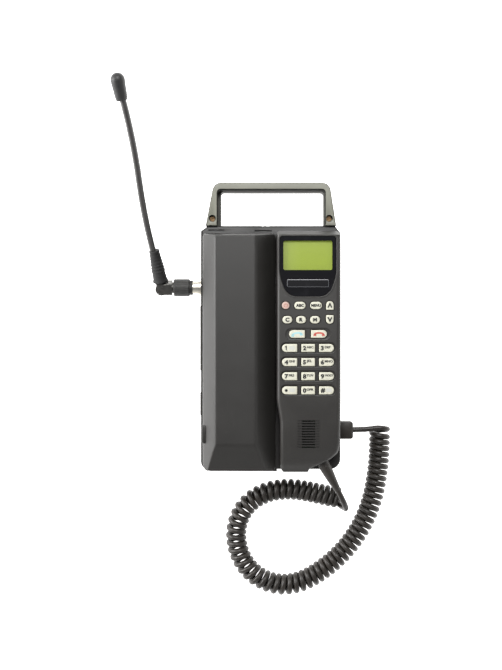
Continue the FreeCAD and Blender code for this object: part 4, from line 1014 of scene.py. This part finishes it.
class PHONE_OT_handle(bpy.types.Operator):
    """Dress the two halves of the carry handle"""
    bl_idname = "phone.handle"
    bl_label = "Carry handle"

    def execute(self, context):
        front = eased("carry_handle_front", "handle_plastic", "base", "handle_plastic", 0.4 * MM)
        # Faces that don't face up are given the painted shade
        paint_where(front, "handle_plastic", "handle_side_painted_shade", lambda face: face.normal.z < HANDLE_FACE_RISE)
        eased("carry_handle_rear", "handle_rear", "base", "dark_plastic", 0.4 * MM)
        return {"FINISHED"}


class PHONE_OT_fasteners(bpy.types.Operator):
    """Grow the slotted handle screws and the crossed case and handset screws"""
    bl_idname = "phone.fasteners"
    bl_label = "Fasteners"

    def execute(self, context):
        brass = screws_tree("old_brass")
        steel = screws_tree("steel")
        handle = grown("handle_screw_pair", brass, HANDLE_SCREWS, head_radius=2.25 * MM, slot_width=0.8 * MM,
                       slot_turn=0.45, shank_length=15 * MM)
        dress(smooth(handle, 30), None, "base", "brass", "handle_screws")
        case = grown("case_screw_set", steel, CASE_SCREWS, head_radius=2.85 * MM, head_height=2 * MM,
                     shank_radius=1.4 * MM, shank_length=26 * MM, cross=1, facing_down=1, slot_depth=1.2 * MM)
        dress(smooth(case, 30), None, "base", "steel", "case_screws")
        handset = grown("handset_screw_set", steel, HANDSET_SCREWS, head_radius=2.25 * MM,
                        head_height=1.9 * MM, shank_radius=1.0 * MM, shank_length=14 * MM, cross=1,
                        facing_down=1, slot_depth=1 * MM)
        dress(smooth(handset, 30), None, "handset", "steel", "handset_screws")
        return {"FINISHED"}


# Battery pack

def arc_corner(before, corner, after, radius, steps):
    """Points of an arc that rounds a corner of an outline."""
    a = (Vector(before) - Vector(corner)).normalized()
    b = (Vector(after) - Vector(corner)).normalized()
    half = a.angle(b) / 2
    reach = radius / math.tan(half)
    start = Vector(corner) + a * reach
    end = Vector(corner) + b * reach
    centre = Vector(corner) + (a + b).normalized() * (radius / math.sin(half))
    points = []
    for i in range(steps + 1):
        point = start.lerp(end, i / steps) - centre
        points.append(centre + point.normalized() * radius)
    return points


def rounded_outline(corners, radii, steps):
    """An outline in the plane with each corner rounded."""
    points = []
    for i, (corner, radius) in enumerate(zip(corners, radii)):
        points += arc_corner(corners[i - 1], corner, corners[(i + 1) % len(corners)], radius, steps)
    return points


# Heights in millimetres: the hump's flat face, the foot of its side walls, and where the walls end
HUMP_TOP = 60
WALL_FOOT = 41.5
WALL_RISE = 9
WALL_BLEND = 2.2
SURFACE_LOW = 38.2
COVER_LOW = 37.3
# Planes of the hump in millimetres: height = level + across * x + along * y
FLANK_FOOT = (44 + 58.5 * 1.6, 1.6, 0)
FLANK = (60.5 + 46.5 * 1.1, 1.1, 0)
LONG_SLOPE = (HUMP_TOP - 12.2 * 17.6 / 16.6, -17.6 / 16.6, 0)
HIP = (HUMP_TOP + 82 * 8 / 21, 0, 8 / 21)
LOWER_END = (38.5 + 106.6 * 8, 0, 8)
UPPER_END = (HUMP_TOP + 97.2 * 22.7 / 3.8, 0, -22.7 / 3.8)
# How wide each edge is blended, as a difference of heights
HUMP_BLENDS = [(FLANK, 1.6), (FLANK_FOOT, 3.0), (LONG_SLOPE, 1.6), (HIP, 0.7), (LOWER_END, 3.5),
               (UPPER_END, 5.5)]
BATTERY_LEFT = -58.5
BATTERY_RIGHT = 4.8
BATTERY_LOW = -106.6
BATTERY_TOP = 101
LOW_CORNER = 6.5
CORNER = 4
# Along the cover: a place, and how far apart the cross-sections are from there on
STATIONS = [(-106.6, 0.25), (-101, 0.6), (-96, 1.5), (-88, 0.6), (-76, 4), (92, 0.6), (96, 0.25), (101, 0.25)]
# Points of a cross-section, crowded towards its sides
SECTION_STEPS = 90
SIDE_CROWDING = 0.075
# The release button and the seat that it is pressed into: size, middle and levels
BUTTON = ((3.8, 14.8), (-57.1, -74.05), (40.2, 48.3))
BUTTON_SEAT = ((7.2, 15.4), (-56.9, -74.05), (39.6, 48.9))


def soft_least(first, second, width):
    """The smaller of two heights, blended where they cross."""
    share = max(width - abs(first - second), 0) / width
    return min(first, second) - share * share * width / 4


def corner_inset(distance, radius):
    """How far a rounded corner draws a side in, at a distance from the end."""
    if distance >= radius:
        return 0
    return radius - math.sqrt(max(0, radius * radius - (radius - distance) ** 2))


def hump_height(x, y, left, right):
    """The battery's face: a flat top blended into its flank, slopes, hip and walls."""
    height = HUMP_TOP
    for (flat, across, along), blend in HUMP_BLENDS:
        height = soft_least(height, flat + across * x + along * y, blend)
    for distance in (x - left, right - x):
        height = soft_least(height, WALL_FOOT + distance * WALL_RISE, WALL_BLEND)
    return max(height, SURFACE_LOW)


class PHONE_OT_battery(bpy.types.Operator):
    """Shape the battery cover's hump, with its hip, rounded corners and release button"""
    bl_idname = "phone.battery"
    bl_label = "Battery pack"

    def execute(self, context):
        shares = [i / SECTION_STEPS for i in range(SECTION_STEPS + 1)]
        loops = []
        for y in self.spread(STATIONS):
            low = y - BATTERY_LOW
            high = BATTERY_TOP - y
            left = BATTERY_LEFT + max(corner_inset(low, LOW_CORNER), corner_inset(high, CORNER))
            right = BATTERY_RIGHT - max(corner_inset(low, CORNER), corner_inset(high, CORNER))
            loop = [(left, y, COVER_LOW)]
            for share in shares:
                eased_share = share - SIDE_CROWDING * math.sin(2 * math.pi * share)
                x = left + (right - left) * eased_share
                loop.append((x, y, hump_height(x, y, left, right)))
            loop.append((right, y, COVER_LOW))
            loops.append(loop)
        cover = turn_faces(stacked_loops("battery_shell", loops), bmesh.ops.recalc_face_normals)
        cut_away(cover, self.block("seat", *BUTTON_SEAT))
        smooth(cover, 30)
        dress(cover, "dark_plastic", "battery_pack", "dark_plastic", "battery_cover")
        eased("battery_tray", "dark_plastic", "battery_pack", "dark_plastic", 0.3 * MM)
        button = self.block("release_button_cap", *BUTTON)
        smooth(settle(bevel(button, 0.7 * MM, 3, 35)), 40)
        dress(button, "dark_plastic", "release_button", "dark_plastic", "battery_release")
        return {"FINISHED"}

    def block(self, name, size, middle, levels):
        """A block with nearly square corners."""
        return prism(name, rounded_loop(*size, "0000", middle), *levels)

    def spread(self, steps):
        """Places between the given ones, each stretch with its own spacing."""
        places = []
        for (start, spacing), (end, _) in zip(steps, steps[1:]):
            count = max(1, round((end - start) / spacing))
            places += [start + (end - start) * i / count for i in range(count)]
        return places + [steps[-1][0]]


# Handset

LEFT_SIDE = [(-106.5, 11.3), (-104, 9.5), (-101, 8.6), (-62, 8.6), (-44, 5.7), (99, 5.7), (101.2, 6.5),
             (102, 8.7)]
RIGHT_SIDE = [(-106.5, 32.9), (-104, 34.2), (-101.3, 39.6), (-95, 52.5), (-89, 58.5), (-82, 60), (-42, 60.2),
              (98.5, 60.2), (101, 59.2), (102, 56.7)]
FACE_LINE = [(-106.5, 47), (-99, 51.8), (-86, 56), (-66, 58.7), (-42, 60), (97.3, 60), (102, 46.5)]
HANDSET_LOW = -106.5
HANDSET_TOP = 102
LEFT_SOFTNESS = 3.2
RIGHT_SOFTNESS = 4.0
# Steps of a rounded edge, and the part of each cross-section's height that stays upright
EDGE_STEPS = 8
UPRIGHT_TO = 46.2
SHELL_SPLIT = 46.0
SHELL_WALL = 2.2
SHELL_INSIDE = 40.0


def along_line(line, at):
    """The second number of a broken line where the first is at."""
    for (a, low), (b, high) in zip(line, line[1:]):
        if at <= b:
            return low + (high - low) * (at - a) / (b - a)
    return line[-1][1]


def softened(line, at, spread):
    """The same, averaged over its neighbourhood."""
    near = [along_line(line, max(HANDSET_LOW, at + spread * step / 4)) for step in range(-4, 5)]
    weights = [5 - abs(step) for step in range(-4, 5)]
    return sum(n * w for n, w in zip(near, weights)) / sum(weights)


def side_place(line, y):
    """A side of the handset, its bends smoothed at the mouth end."""
    if -103.5 < y < -75:
        return softened(line, y, 2.5 if y > -100 else 1.2)
    return along_line(line, y)


def face_height(y):
    """The handset's face seen from its side, with the bends at the mouth end smoothed."""
    if y < -30:
        spread = 7 if y > -95 else 3
        return softened(FACE_LINE, y, spread)
    return along_line(FACE_LINE, y)


def rounded_edge(radius):
    """How far an edge is drawn in and down at each step of its rounding."""
    angles = [math.pi / 2 * i / EDGE_STEPS for i in range(1, EDGE_STEPS)]
    return [(radius * (1 - math.cos(angle)), radius * (1 - math.sin(angle))) for angle in angles]


def handset_loft(name, inset, bottom):
    """The handset's front as one skin over cross-sections from mouth to ear."""
    stations = [-106.5, -106.2, -105.6, -104.8, -104.3]
    stations += [-104 + 0.5 * i for i in range(40)] + [-84 + 2 * i for i in range(28)]
    stations += [0, 45, 90, 96.2, 96.9, 97.3, 97.7, 98.4, 99.2, 100, 100.6, 101.1, 101.5, 101.8, 102]
    loops = []
    for y in stations:
        y_in = min(max(y, HANDSET_LOW + inset), HANDSET_TOP - inset)
        left = side_place(LEFT_SIDE, y_in) + inset
        right = side_place(RIGHT_SIDE, y_in) - inset
        top = face_height(y_in) - inset
        room = min(top - UPRIGHT_TO, (right - left) / 2 - 0.5)
        round_left = min(LEFT_SOFTNESS, room)
        round_right = min(RIGHT_SOFTNESS, room)
        section = [(left, bottom), (left, top - round_left)]
        section += [(left + aside, top - down) for aside, down in rounded_edge(round_left)]
        section.append((left + round_left, top))
        for share in (0.15, 0.5, 0.85):
            section.append((left + round_left + (right - left - round_left - round_right) * share, top))
        section.append((right - round_right, top))
        section += [(right - aside, top - down) for down, aside in rounded_edge(round_right)]
        section += [(right, top - round_right), (right, bottom)]
        loops.append([Vector((x, y_in, z)) * MM for x, z in section])
    bm = skinned(loops)
    bmesh.ops.remove_doubles(bm, verts=bm.verts, dist=WELD)
    bmesh.ops.dissolve_degenerate(bm, edges=bm.edges, dist=WELD / 2)
    bmesh.ops.recalc_face_normals(bm, faces=bm.faces)
    return from_bmesh(name, bm)


KEYS = [
    # name, middle, size, rounded corners from lower left anticlockwise, large print, small print
    ("power", (13.1, 37.0), (6.6, 6.6), "1111", "", ""),
    ("abc", (25.2, 37.0), (9.7, 6.5), "1111", "ABC", ""),
    ("menu", (38.85, 37.0), (10.2, 6.5), "1111", "MENU", ""),
    ("up", (50.6, 37.0), (6.5, 7.6), "0011", "", ""),
    ("clear", (14.5, 24.9), (8.4, 6.5), "1111", "C", ""),
    ("recall", (26.1, 24.9), (8.5, 6.5), "1111", "R", ""),
    ("memory", (38.0, 24.9), (8.5, 6.5), "1111", "M", ""),
    ("down", (50.6, 25.1), (6.5, 7.6), "1100", "", ""),
    ("call", (22.7, 12.75), (13.6, 6.8), "1001", "", ""),
    ("end", (41.4, 12.75), (13.6, 6.8), "0110", "", ""),
]
DIGITS = [("1", "1", ""), ("2", "2", "ABC"), ("3", "3", "DEF"), ("4", "4", "GHI"), ("5", "5", "JKL"),
          ("6", "6", "MNO"), ("7", "7", "PRS"), ("8", "8", "TUV"), ("9", "9", "WXY"), ("star", "*", ""),
          ("0", "0", "OPR"), ("hash", "#", "")]
COLUMNS = [(16.45, 13.0, "1001"), (32.2, 11.65, "0000"), (47.8, 12.75, "0110")]
# Where large and small print start, from the key's middle
DIGIT_PLACES = {}
PRINT_STARTS = [(-4.3, -0.75), (-4.6, -1.45), (-4.95, -1.6)]
PRINT_LEVEL = 60.93
PRINT_THICKNESS = 0.06
# Height, added weight and width of the words on the upper keys
LARGE_PRINT = {"ABC": (2.3, 0.2, 1.05), "MENU": (2.2, 0.16, 1.0), "C": (3.3, 0.28, 1.05),
               "R": (3.0, 0.28, 1.05), "M": (3.0, 0.2, 1.1)}
for order, (key_name, large, small) in enumerate(DIGITS):
    DIGIT_PLACES[key_name] = PRINT_STARTS[order % 3]
    across, key_width, key_corners = COLUMNS[order % 3]
    KEYS.append((key_name, (across, 0.85 - 12 * (order // 3)), (key_width, 7.0), key_corners, large, small))

# The digit keys, whose middles are below this, stand in troughs
TROUGH_KEYS_BELOW = 5
# Middle and size of the shallow troughs that the rows of keys stand in
TROUGHS = [((32.3, 0.85 - 12 * row), (47.5, 9.9)) for row in range(4)] + [((32.2, 12.6), (38.7, 10.6))]
WINDOW = [(8.3, 95.6), (8.3, 66), (9.5, 59), (12.7, 50.5), (16.7, 46.4), (21.3, 45), (42.8, 45), (47.4, 46.4),
          (51.4, 50.5), (54.6, 59), (55.8, 66), (55.8, 95.6)]
DISPLAY_MIDDLE = (31.9, 79.6)
VIEW_PORT = ((43.6, 27.0), (32.0, 79.5), (50, 59))
NAMEPLATE = [(14.2, 52.4), (49.9, 52.4), (49.9, 59.1), (14.2, 59.1)]
NAMEPLATE_RADIUS = 0.9
# Middle of the grille's first slot, and how many slots there are
GRILLE_START = (32.7, -61.4)
GRILLE_SLOTS = 11
# How far an outline grows at each level, from the lowest; a trough's levels are above its floor
TROUGH_STEPS = [(-0.55, 0), (-0.2, 0.12)]
SEAT_STEPS = [(0.12, 58.0), (0.12, 59.6), (0.5, 60.05), (0.5, 62)]
LIP_STEPS = [(0.45, 59.7), (0.5, 60.25), (0.7, 60.4), (1.3, 60.4), (1.75, 60.2), (1.95, 59.7)]
BORDER_STEPS = [(0, 58.1), (0, 60.18), (-0.02, 60.2)]
PLATE_STEPS = [(0, 60.2), (0, 60.55), (-0.08, 60.65), (-0.2, 60.68)]
HIGHLIGHT_LINE_STEPS = [(-0.3, 60.66), (-0.3, 60.7), (-0.55, 60.7), (-0.55, 60.66), (-0.3, 60.66)]
CAP_STEPS = [(0.7, 56.6), (0.7, 57.65), (0.0, 57.7), (0.0, 60.2), (-0.1, 60.5), (-0.3, 60.72), (-0.62, 60.84),
             (-1.2, 60.88), (-2.0, 60.86)]
# Below this level a key's edge has its darker finish, a painted shade
KEY_SHADE_LEVEL = 60.6
WINDOW_RADII = [2.2, 8, 8, 8, 5, 5, 5, 5, 8, 8, 8, 2.2]


def swollen(outline, distance):
    """An outline moved outwards; the outline runs anticlockwise."""
    count = len(outline)
    moved = []
    for i in range(count):
        before = Vector(outline[i - 1])
        here = Vector(outline[i])
        after = Vector(outline[(i + 1) % count])
        first = (here - before).normalized()
        second = (after - here).normalized()
        normal = Vector((first.y + second.y, -first.x - second.x))
        normal.normalize()
        lean = max(0.3, normal.dot(Vector((first.y, -first.x))))
        moved.append(here + normal * (distance / lean))
    return moved


def window_line(distance):
    """The window's outline, moved outwards."""
    return swollen(rounded_outline(WINDOW, WINDOW_RADII, 5), distance)


def level(outline, z):
    """An outline laid at a level."""
    return [(point[0], point[1], z) for point in outline]


def risen(name, outline, steps, closed=True):
    """A skin over an outline, given by how far it grows, at each of the steps."""
    return stacked_loops(name, [level(outline(grow), z) for grow, z in steps], closed)


class PHONE_OT_handset(bpy.types.Operator):
    """Loft the handset's front shell and cut its window seat, key openings, troughs and grille"""
    bl_idname = "phone.handset"
    bl_label = "Handset"

    def execute(self, context):
        shell = handset_loft("handset_front", 0.0, SHELL_SPLIT)
        cut_away(shell, handset_loft("inside", SHELL_WALL, SHELL_INSIDE))
        face = FACE / MM
        floor = face - sizes().trough / MM
        steps = [(grow, floor + up) for grow, up in TROUGH_STEPS] + [(0, face - 0.15), (0.3, face + 0.15)]
        cut_away(shell, join("troughs", [risen("trough", self.key_line(size, "1111", middle), steps)
                                         for middle, size in TROUGHS]))
        gap = sizes().key_gap / MM
        holes = []
        for name, middle, size, corners, *_ in KEYS:
            top = floor if name in ("call", "end") or middle[1] < TROUGH_KEYS_BELOW else face
            steps = [(gap, 55), (gap, top - 0.35), (gap + 0.12, top - 0.12), (gap + 0.4, top + 0.08),
                     (gap + 0.4, 61)]
            holes.append(risen("hole", self.key_line(size, corners, middle), steps))
        cut_away(shell, join("holes", holes))
        cut_away(shell, risen("seat", window_line, SEAT_STEPS))
        size, middle, levels = VIEW_PORT
        cut_away(shell, prism("view port", rounded_loop(*size, "0000", middle), *levels))
        grille = slots_tree()
        for length, width, depth, lift in ((18.8, 1.15, 1.6, 0.25), (11.4, 1.1, 14, 0)):
            bars = grown("bars", grille, slots=GRILLE_SLOTS, length=length * MM, width=width * MM,
                         depth=depth * MM)
            cut_away(shell, self.follow_face(bars, lift))
        # A low rounded bead round the window
        lip = turn_faces(risen("lip", window_line, LIP_STEPS, False), bmesh.ops.reverse_faces)
        whole = join("handset_front_piece", [smooth(shell, 28), smooth(lip, 50)])
        dress(whole, "handset_plastic", "handset", "dark_plastic", "handset_front_shell")

        eased("handset_rear_shell", "handset_plastic", "handset", "dark_plastic", 0.4 * MM)
        return {"FINISHED"}

    def key_line(self, size, corners, middle):
        """The outline of a key or trough, by how far it grows."""
        return lambda grow: rounded_loop(*size, corners, middle, grow)

    def follow_face(self, bars, lift):
        """Move grille bars along the face and down to its level."""
        x, y = GRILLE_START
        for vertex in bars.data.vertices:
            vertex.co += Vector((x, y, face_height(y + vertex.co.y / MM) + lift)) * MM
        return bars


class PHONE_OT_display(bpy.types.Operator):
    """Make the window with its black border and clear pane, the display and the bare nameplate"""
    bl_idname = "phone.display"
    bl_label = "Display"

    def execute(self, context):
        border = risen("window_border", window_line, BORDER_STEPS)
        cut_away(border, prism("opening", self.rounded_opening(41.7, 24.9, 1.5), 55, 62))
        dress(smooth(border, 30), "window", "handset", "window", "display_window")
        pane = prism("window_pane", self.rounded_opening(41.6, 24.8, 1.45), 58.15, 60.12)
        dress(smooth(pane, 30), "pane", "handset", "window", "display_window")
        paint(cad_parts["lcd_panel"], "lcd_green")
        dress(self.nameplate(), None, "handset", "gloss_black", "nameplate")
        return {"FINISHED"}

    def rounded_opening(self, width, height, radius):
        """The clear part of the window."""
        x, y = DISPLAY_MIDDLE
        corners = [(x - width / 2, y - height / 2), (x + width / 2, y - height / 2),
                   (x + width / 2, y + height / 2), (x - width / 2, y + height / 2)]
        return rounded_outline(corners, [radius] * 4, 6)

    def nameplate(self):
        """A bare black plate with a thin painted highlight line round it."""
        corners = rounded_outline(NAMEPLATE, [NAMEPLATE_RADIUS] * 4, 5)

        def outline(grow):
            return swollen(corners, grow)

        plate = smooth(risen("nameplate_piece", outline, PLATE_STEPS), 30)
        # Painted highlight round the plate's edge
        line = risen("line", outline, HIGHLIGHT_LINE_STEPS, False)
        return join("nameplate_piece", [paint(plate, "gloss_black"), paint(line, "pale_line")])


# Keys

def lettering(name, words, height, middle, z, heavy=0.0, left=None, wide=1.0):
    """Words as a flat mesh with a little thickness, centred or starting at a side."""
    text = bpy.data.curves.new(name, "FONT")
    text.body = words
    text.size = height * MM * 1.38
    text.offset = heavy * MM
    text.extrude = PRINT_THICKNESS / 2 * MM
    text.align_x = "CENTER" if left is None else "LEFT"
    text.align_y = "CENTER"
    text.resolution_u = 3
    item = move_mesh(settle(put(name, text)), Matrix.Diagonal((wide, 1, 1, 1)))
    low = [min(v.co[i] for v in item.data.vertices) for i in range(2)]
    high = [max(v.co[i] for v in item.data.vertices) for i in range(2)]
    x = middle[0] * MM - (low[0] + high[0]) / 2 if left is None else left * MM - low[0]
    y = middle[1] * MM - (low[1] + high[1]) / 2
    return move_mesh(item, Matrix.Translation((x, y, z * MM)))


def flat_sign(name, outline, z):
    """An outline with the thickness of print."""
    return prism(name, outline, z - PRINT_THICKNESS / 2, z + PRINT_THICKNESS / 2)


def stroke(points, width):
    """An outline round a broken line of points, as wide as a pen."""
    left = []
    right = []
    for i, point in enumerate(points):
        before = Vector(points[max(i - 1, 0)])
        after = Vector(points[min(i + 1, len(points) - 1)])
        here = Vector(point)
        first = (here - before).normalized() if i else (after - here).normalized()
        second = (after - here).normalized() if i < len(points) - 1 else first
        normal = Vector((-(first.y + second.y), first.x + second.x)).normalized()
        reach = width / 2 / max(0.4, normal.dot(Vector((-first.y, first.x))))
        left.append(here + normal * reach)
        right.append(here - normal * reach)
    return [(p.x, p.y) for p in right + left[::-1]]


def handset_sign(middle, size, turn):
    """A small handset drawn as a bow with two cups."""
    points = []
    for i in range(13):
        angle = math.radians(160 - 140 * i / 12)
        points.append((math.cos(angle) * size, math.sin(angle) * size * 0.42))
    bow = stroke(points, size * 0.32)
    cups = []
    for side in (-1, 1):
        x = side * size * 0.86
        cups.append([(x - size * 0.32, -size * 0.20), (x + size * 0.32, -size * 0.20),
                     (x + size * 0.24, size * 0.18), (x - size * 0.24, size * 0.18)])
    turned_outlines = []
    for outline in [bow] + cups:
        moved = [(middle[0] + x * math.cos(turn) - y * math.sin(turn),
                  middle[1] - size * 0.2 + x * math.sin(turn) + y * math.cos(turn)) for x, y in outline]
        turned_outlines.append(moved)
    return turned_outlines


class PHONE_OT_keys(bpy.types.Operator):
    """Mould the key caps and print their generic legends"""
    bl_idname = "phone.keys"
    bl_label = "Keys"

    def execute(self, context):
        for name, middle, (width, height), corners, large, small in KEYS:
            loops = [level(rounded_loop(width, height, corners, middle, grow), z) for grow, z in CAP_STEPS]
            # The lower, rounded edges of each cap get the painted shade
            cap = paint_where(smooth(stacked_loops("cap", loops), 40),
                              "power_cap" if name == "power" else "key_cap", "key_edge",
                              lambda face: face.center.z < KEY_SHADE_LEVEL * MM)
            key = join("key_" + name + "_cap", [cap] + self.prints(name, middle, large, small))
            dress(key, None, "button_" + name, "key_cap", "key_" + name)
        return {"FINISHED"}

    def prints(self, name, middle, large, small):
        """The print on one key."""
        z = PRINT_LEVEL
        x, y = middle
        made = []
        if name in DIGIT_PLACES:
            large_left, small_left = DIGIT_PLACES[name]
            if name == "star":
                for turn in (0, 60, 120):
                    arm = Vector((math.cos(math.radians(turn)), math.sin(math.radians(turn)))) * 1.25
                    centre = Vector((x + large_left + 1.4, y - 0.1))
                    made.append(flat_sign("arm", stroke([centre - arm, centre + arm], 0.8), z))
            elif name == "1":
                bar = [(x + large_left + 0.3, y + 0.85), (x + large_left + 1.35, y + 1.45),
                       (x + large_left + 1.4, y - 1.85)]
                made.append(flat_sign("one", stroke(bar, 0.85), z))
            else:
                made.append(lettering("print", large, 3.5, (x, y - 0.1), z, 0.28, x + large_left, 1.1))
            if small:
                made.append(lettering("print", small, 1.9, (x, y + 0.7), z, 0.11, x + small_left, 1.12))
        elif large:
            tall, heavy, wide = LARGE_PRINT[large]
            made.append(lettering("print", large, tall, middle, z, heavy, None, wide))
        for item in made:
            paint(item, "legend")
        signs = []
        if name in ("1", "star", "hash"):
            signs.append((rounded_loop(4.6, 3.2, "0000", (x + 1.9, y + 0.2), 0, 2), "worn_patch"))
        if name in ("up", "down"):
            way = 1 if name == "up" else -1
            outline = stroke([(x - 1.6, y - 1.9 * way), (x, y + 1.4 * way), (x + 1.6, y - 1.9 * way)], 1.15)
            signs.append((outline, "legend"))
        if name == "power":
            ring = [(x + 1.5 * math.cos(a), y + 1.5 * math.sin(a))
                    for a in (math.radians(125 + 290 * i / 24) for i in range(25))]
            signs.append((stroke(ring, 0.4), "power_sign"))
            signs.append((stroke([(x, y + 0.3), (x, y + 2.0)], 0.4), "power_sign"))
        if name == "call":
            signs += [(outline, "call_sign") for outline in handset_sign(middle, 4.2, math.radians(8))]
        if name == "end":
            signs += [(outline, "end_sign") for outline in handset_sign(middle, 4.2, 0)]
        return made + [paint(flat_sign("sign", outline, z), finish) for outline, finish in signs]


# Antenna and strain relief

# Radius and place along the piece, in millimetres; the cap ends in a dome
SLEEVE_PROFILE = [(3.1, 6.2), (6.5, 6.2), (6.85, 6.5), (6.85, 7.4), (6.3, 8.6), (6.05, 10.5), (5.8, 15),
                  (5.4, 22), (4.95, 29), (4.5, 33.6), (4.65, 34.2), (4.65, 35.6), (4.4, 35.98), (2.0, 35.98)]
CAP_RADIUS = 6
CAP_DOME = 184
CAP_PROFILE = [(1.2, 167.6), (4.3, 167.6), (4.55, 167.9), (5.05, 168.9), (5.35, 173), (5.6, 178),
               (5.85, 181.5)]
CAP_PROFILE += [(CAP_RADIUS * math.cos(angle), CAP_DOME + CAP_RADIUS * math.sin(angle))
                for angle in (math.radians(9 * i) for i in range(9))] + [(0.3, 189.99)]
RELIEF_PROFILE = [(1.8, -3.9), (5.35, -3.9), (5.2, 2), (4.9, 8), (4.25, 14.5), (3.6, 21), (2.85, 28.3),
                  (2.6, 28.9), (1.8, 29.0)]


def antenna_place():
    """From the whip's own frame, with Y along the whip and the pin at the origin, to the phone's."""
    lean = Matrix.Translation(ANTENNA_AXIS) @ Matrix.Rotation(ANTENNA_LEAN, 4, "X")
    return lean @ Matrix.Translation((HINGE_PIN.x, 0, 0)) @ Matrix.Rotation(ANTENNA_TILT, 4, "Z")


def upright_to_y():
    """Turns a piece made along Z to lie along Y."""
    return Matrix.Rotation(-math.pi / 2, 4, "X")


class PHONE_OT_antenna(bpy.types.Operator):
    """Turn the ribbed sleeve and cap of the folding antenna, and ease its coupling nut and elbow"""
    bl_idname = "phone.antenna"
    bl_label = "Antenna"

    def execute(self, context):
        eased("antenna_nut", "black_metal", "coupling_nut", "black_metal", 0.25 * MM)
        eased("antenna_elbow", "dark_nickel", "elbow", "black_metal", 0.35 * MM)
        place = antenna_place() @ upright_to_y()
        core = paint(turned("core", SLEEVE_PROFILE, 40, True), "black_rubber")
        ribs = grown("ribs", ribs_tree(), ribs=7, first=16.8 * MM, pitch=2.9 * MM, radius=5.65 * MM,
                     taper=0.045, depth=0.8 * MM, height=0.6 * MM)
        sleeve = move_mesh(join("antenna_boot", [smooth(core, 35), smooth(ribs, 60)]), place)
        dress(sleeve, None, "whip", "black_rubber", "antenna_sleeve")
        cap = turned("antenna_cap_piece", CAP_PROFILE, 40)
        move_mesh(smooth(cap, 35), place)
        dress(cap, "cap_rubber", "whip", "black_rubber", "antenna_cap")
        return {"FINISHED"}


class PHONE_OT_strain_relief(bpy.types.Operator):
    """Make the ribbed boot that the cord leaves the handset through"""
    bl_idname = "phone.strain_relief"
    bl_label = "Strain relief"

    def execute(self, context):
        core = paint(turned("core", RELIEF_PROFILE, 36, True), "cord_plastic")
        ribs = grown("ribs", ribs_tree(), ribs=8, first=3.7 * MM, pitch=2.9 * MM, radius=4.95 * MM,
                     taper=0.056, depth=0.8 * MM, height=0.32 * MM)
        paint(ribs, "cord_plastic")
        boot = join("cord_boot", [smooth(core, 35), smooth(ribs, 60)])
        move_mesh(boot, point_along(RELIEF_WAY, RELIEF_ROOT))
        dress(boot, None, "handset", "cord_plastic", "handset_strain_relief")
        return {"FINISHED"}


# Nodes that keep their own shape, and their finishes

KEPT = {
    "chassis": "alloy", "transceiver_board": "board", "shield_can": "tinplate",
    "hook_switch": "painted_shade_plastic", "rubber_feet": "foot", "battery_contacts": "brass",
    # The hook switch, in the cradle under the handset, gets the painted shade plastic
    "battery_cells": "cell_can", "keypad_mat": "mat_rubber", "handset_board": "board",
    "earpiece_speaker": "tinplate", "microphone": "tinplate", "ringer_speaker": "mat_rubber",
    "antenna_socket": "bright_brass", "antenna_pin": "dark_nickel", "antenna_rod": "whip_gloss",
}


class PHONE_OT_kept_parts(bpy.types.Operator):
    """Give the parts inside and the turned metal parts their materials"""
    bl_idname = "phone.kept_parts"
    bl_label = "Parts inside"

    def execute(self, context):
        for name, finish in KEPT.items():
            paint(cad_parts[name], finish)
        return {"FINISHED"}


class PHONE_PT_panel(bpy.types.Panel):
    """Lists the phone's pieces"""
    bl_label = "Transportable phone"
    bl_idname = "PHONE_PT_panel"
    bl_space_type = "VIEW_3D"
    bl_region_type = "UI"
    bl_category = "Phone"

    def draw(self, context):
        """List the operators."""
        for step in STEPS:
            self.layout.operator(step.bl_idname, text=step.bl_label)


STEPS = (PHONE_OT_stage, PHONE_OT_curly_cord, PHONE_OT_casing, PHONE_OT_handle, PHONE_OT_battery,
         PHONE_OT_handset, PHONE_OT_display, PHONE_OT_keys, PHONE_OT_strain_relief, PHONE_OT_antenna,
         PHONE_OT_fasteners, PHONE_OT_kept_parts)
CLASSES = (PhoneColours, PhoneSizes) + STEPS + (PHONE_PT_panel,)


def register():
    """Register the classes and the settings."""
    for item in CLASSES:
        bpy.utils.register_class(item)
    bpy.types.Scene.phone_colours = PointerProperty(type=PhoneColours)
    bpy.types.Scene.phone_sizes = PointerProperty(type=PhoneSizes)


def unregister():
    """Take the settings and classes out again."""
    del bpy.types.Scene.phone_sizes
    del bpy.types.Scene.phone_colours
    for item in reversed(CLASSES):
        bpy.utils.unregister_class(item)


def main():
    """Dress the phone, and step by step."""
    register()
    make_finishes()
    for step in STEPS:
        group, action = step.bl_idname.split(".")
        getattr(getattr(bpy.ops, group), action)()


if __name__ == "__main__":
    main()
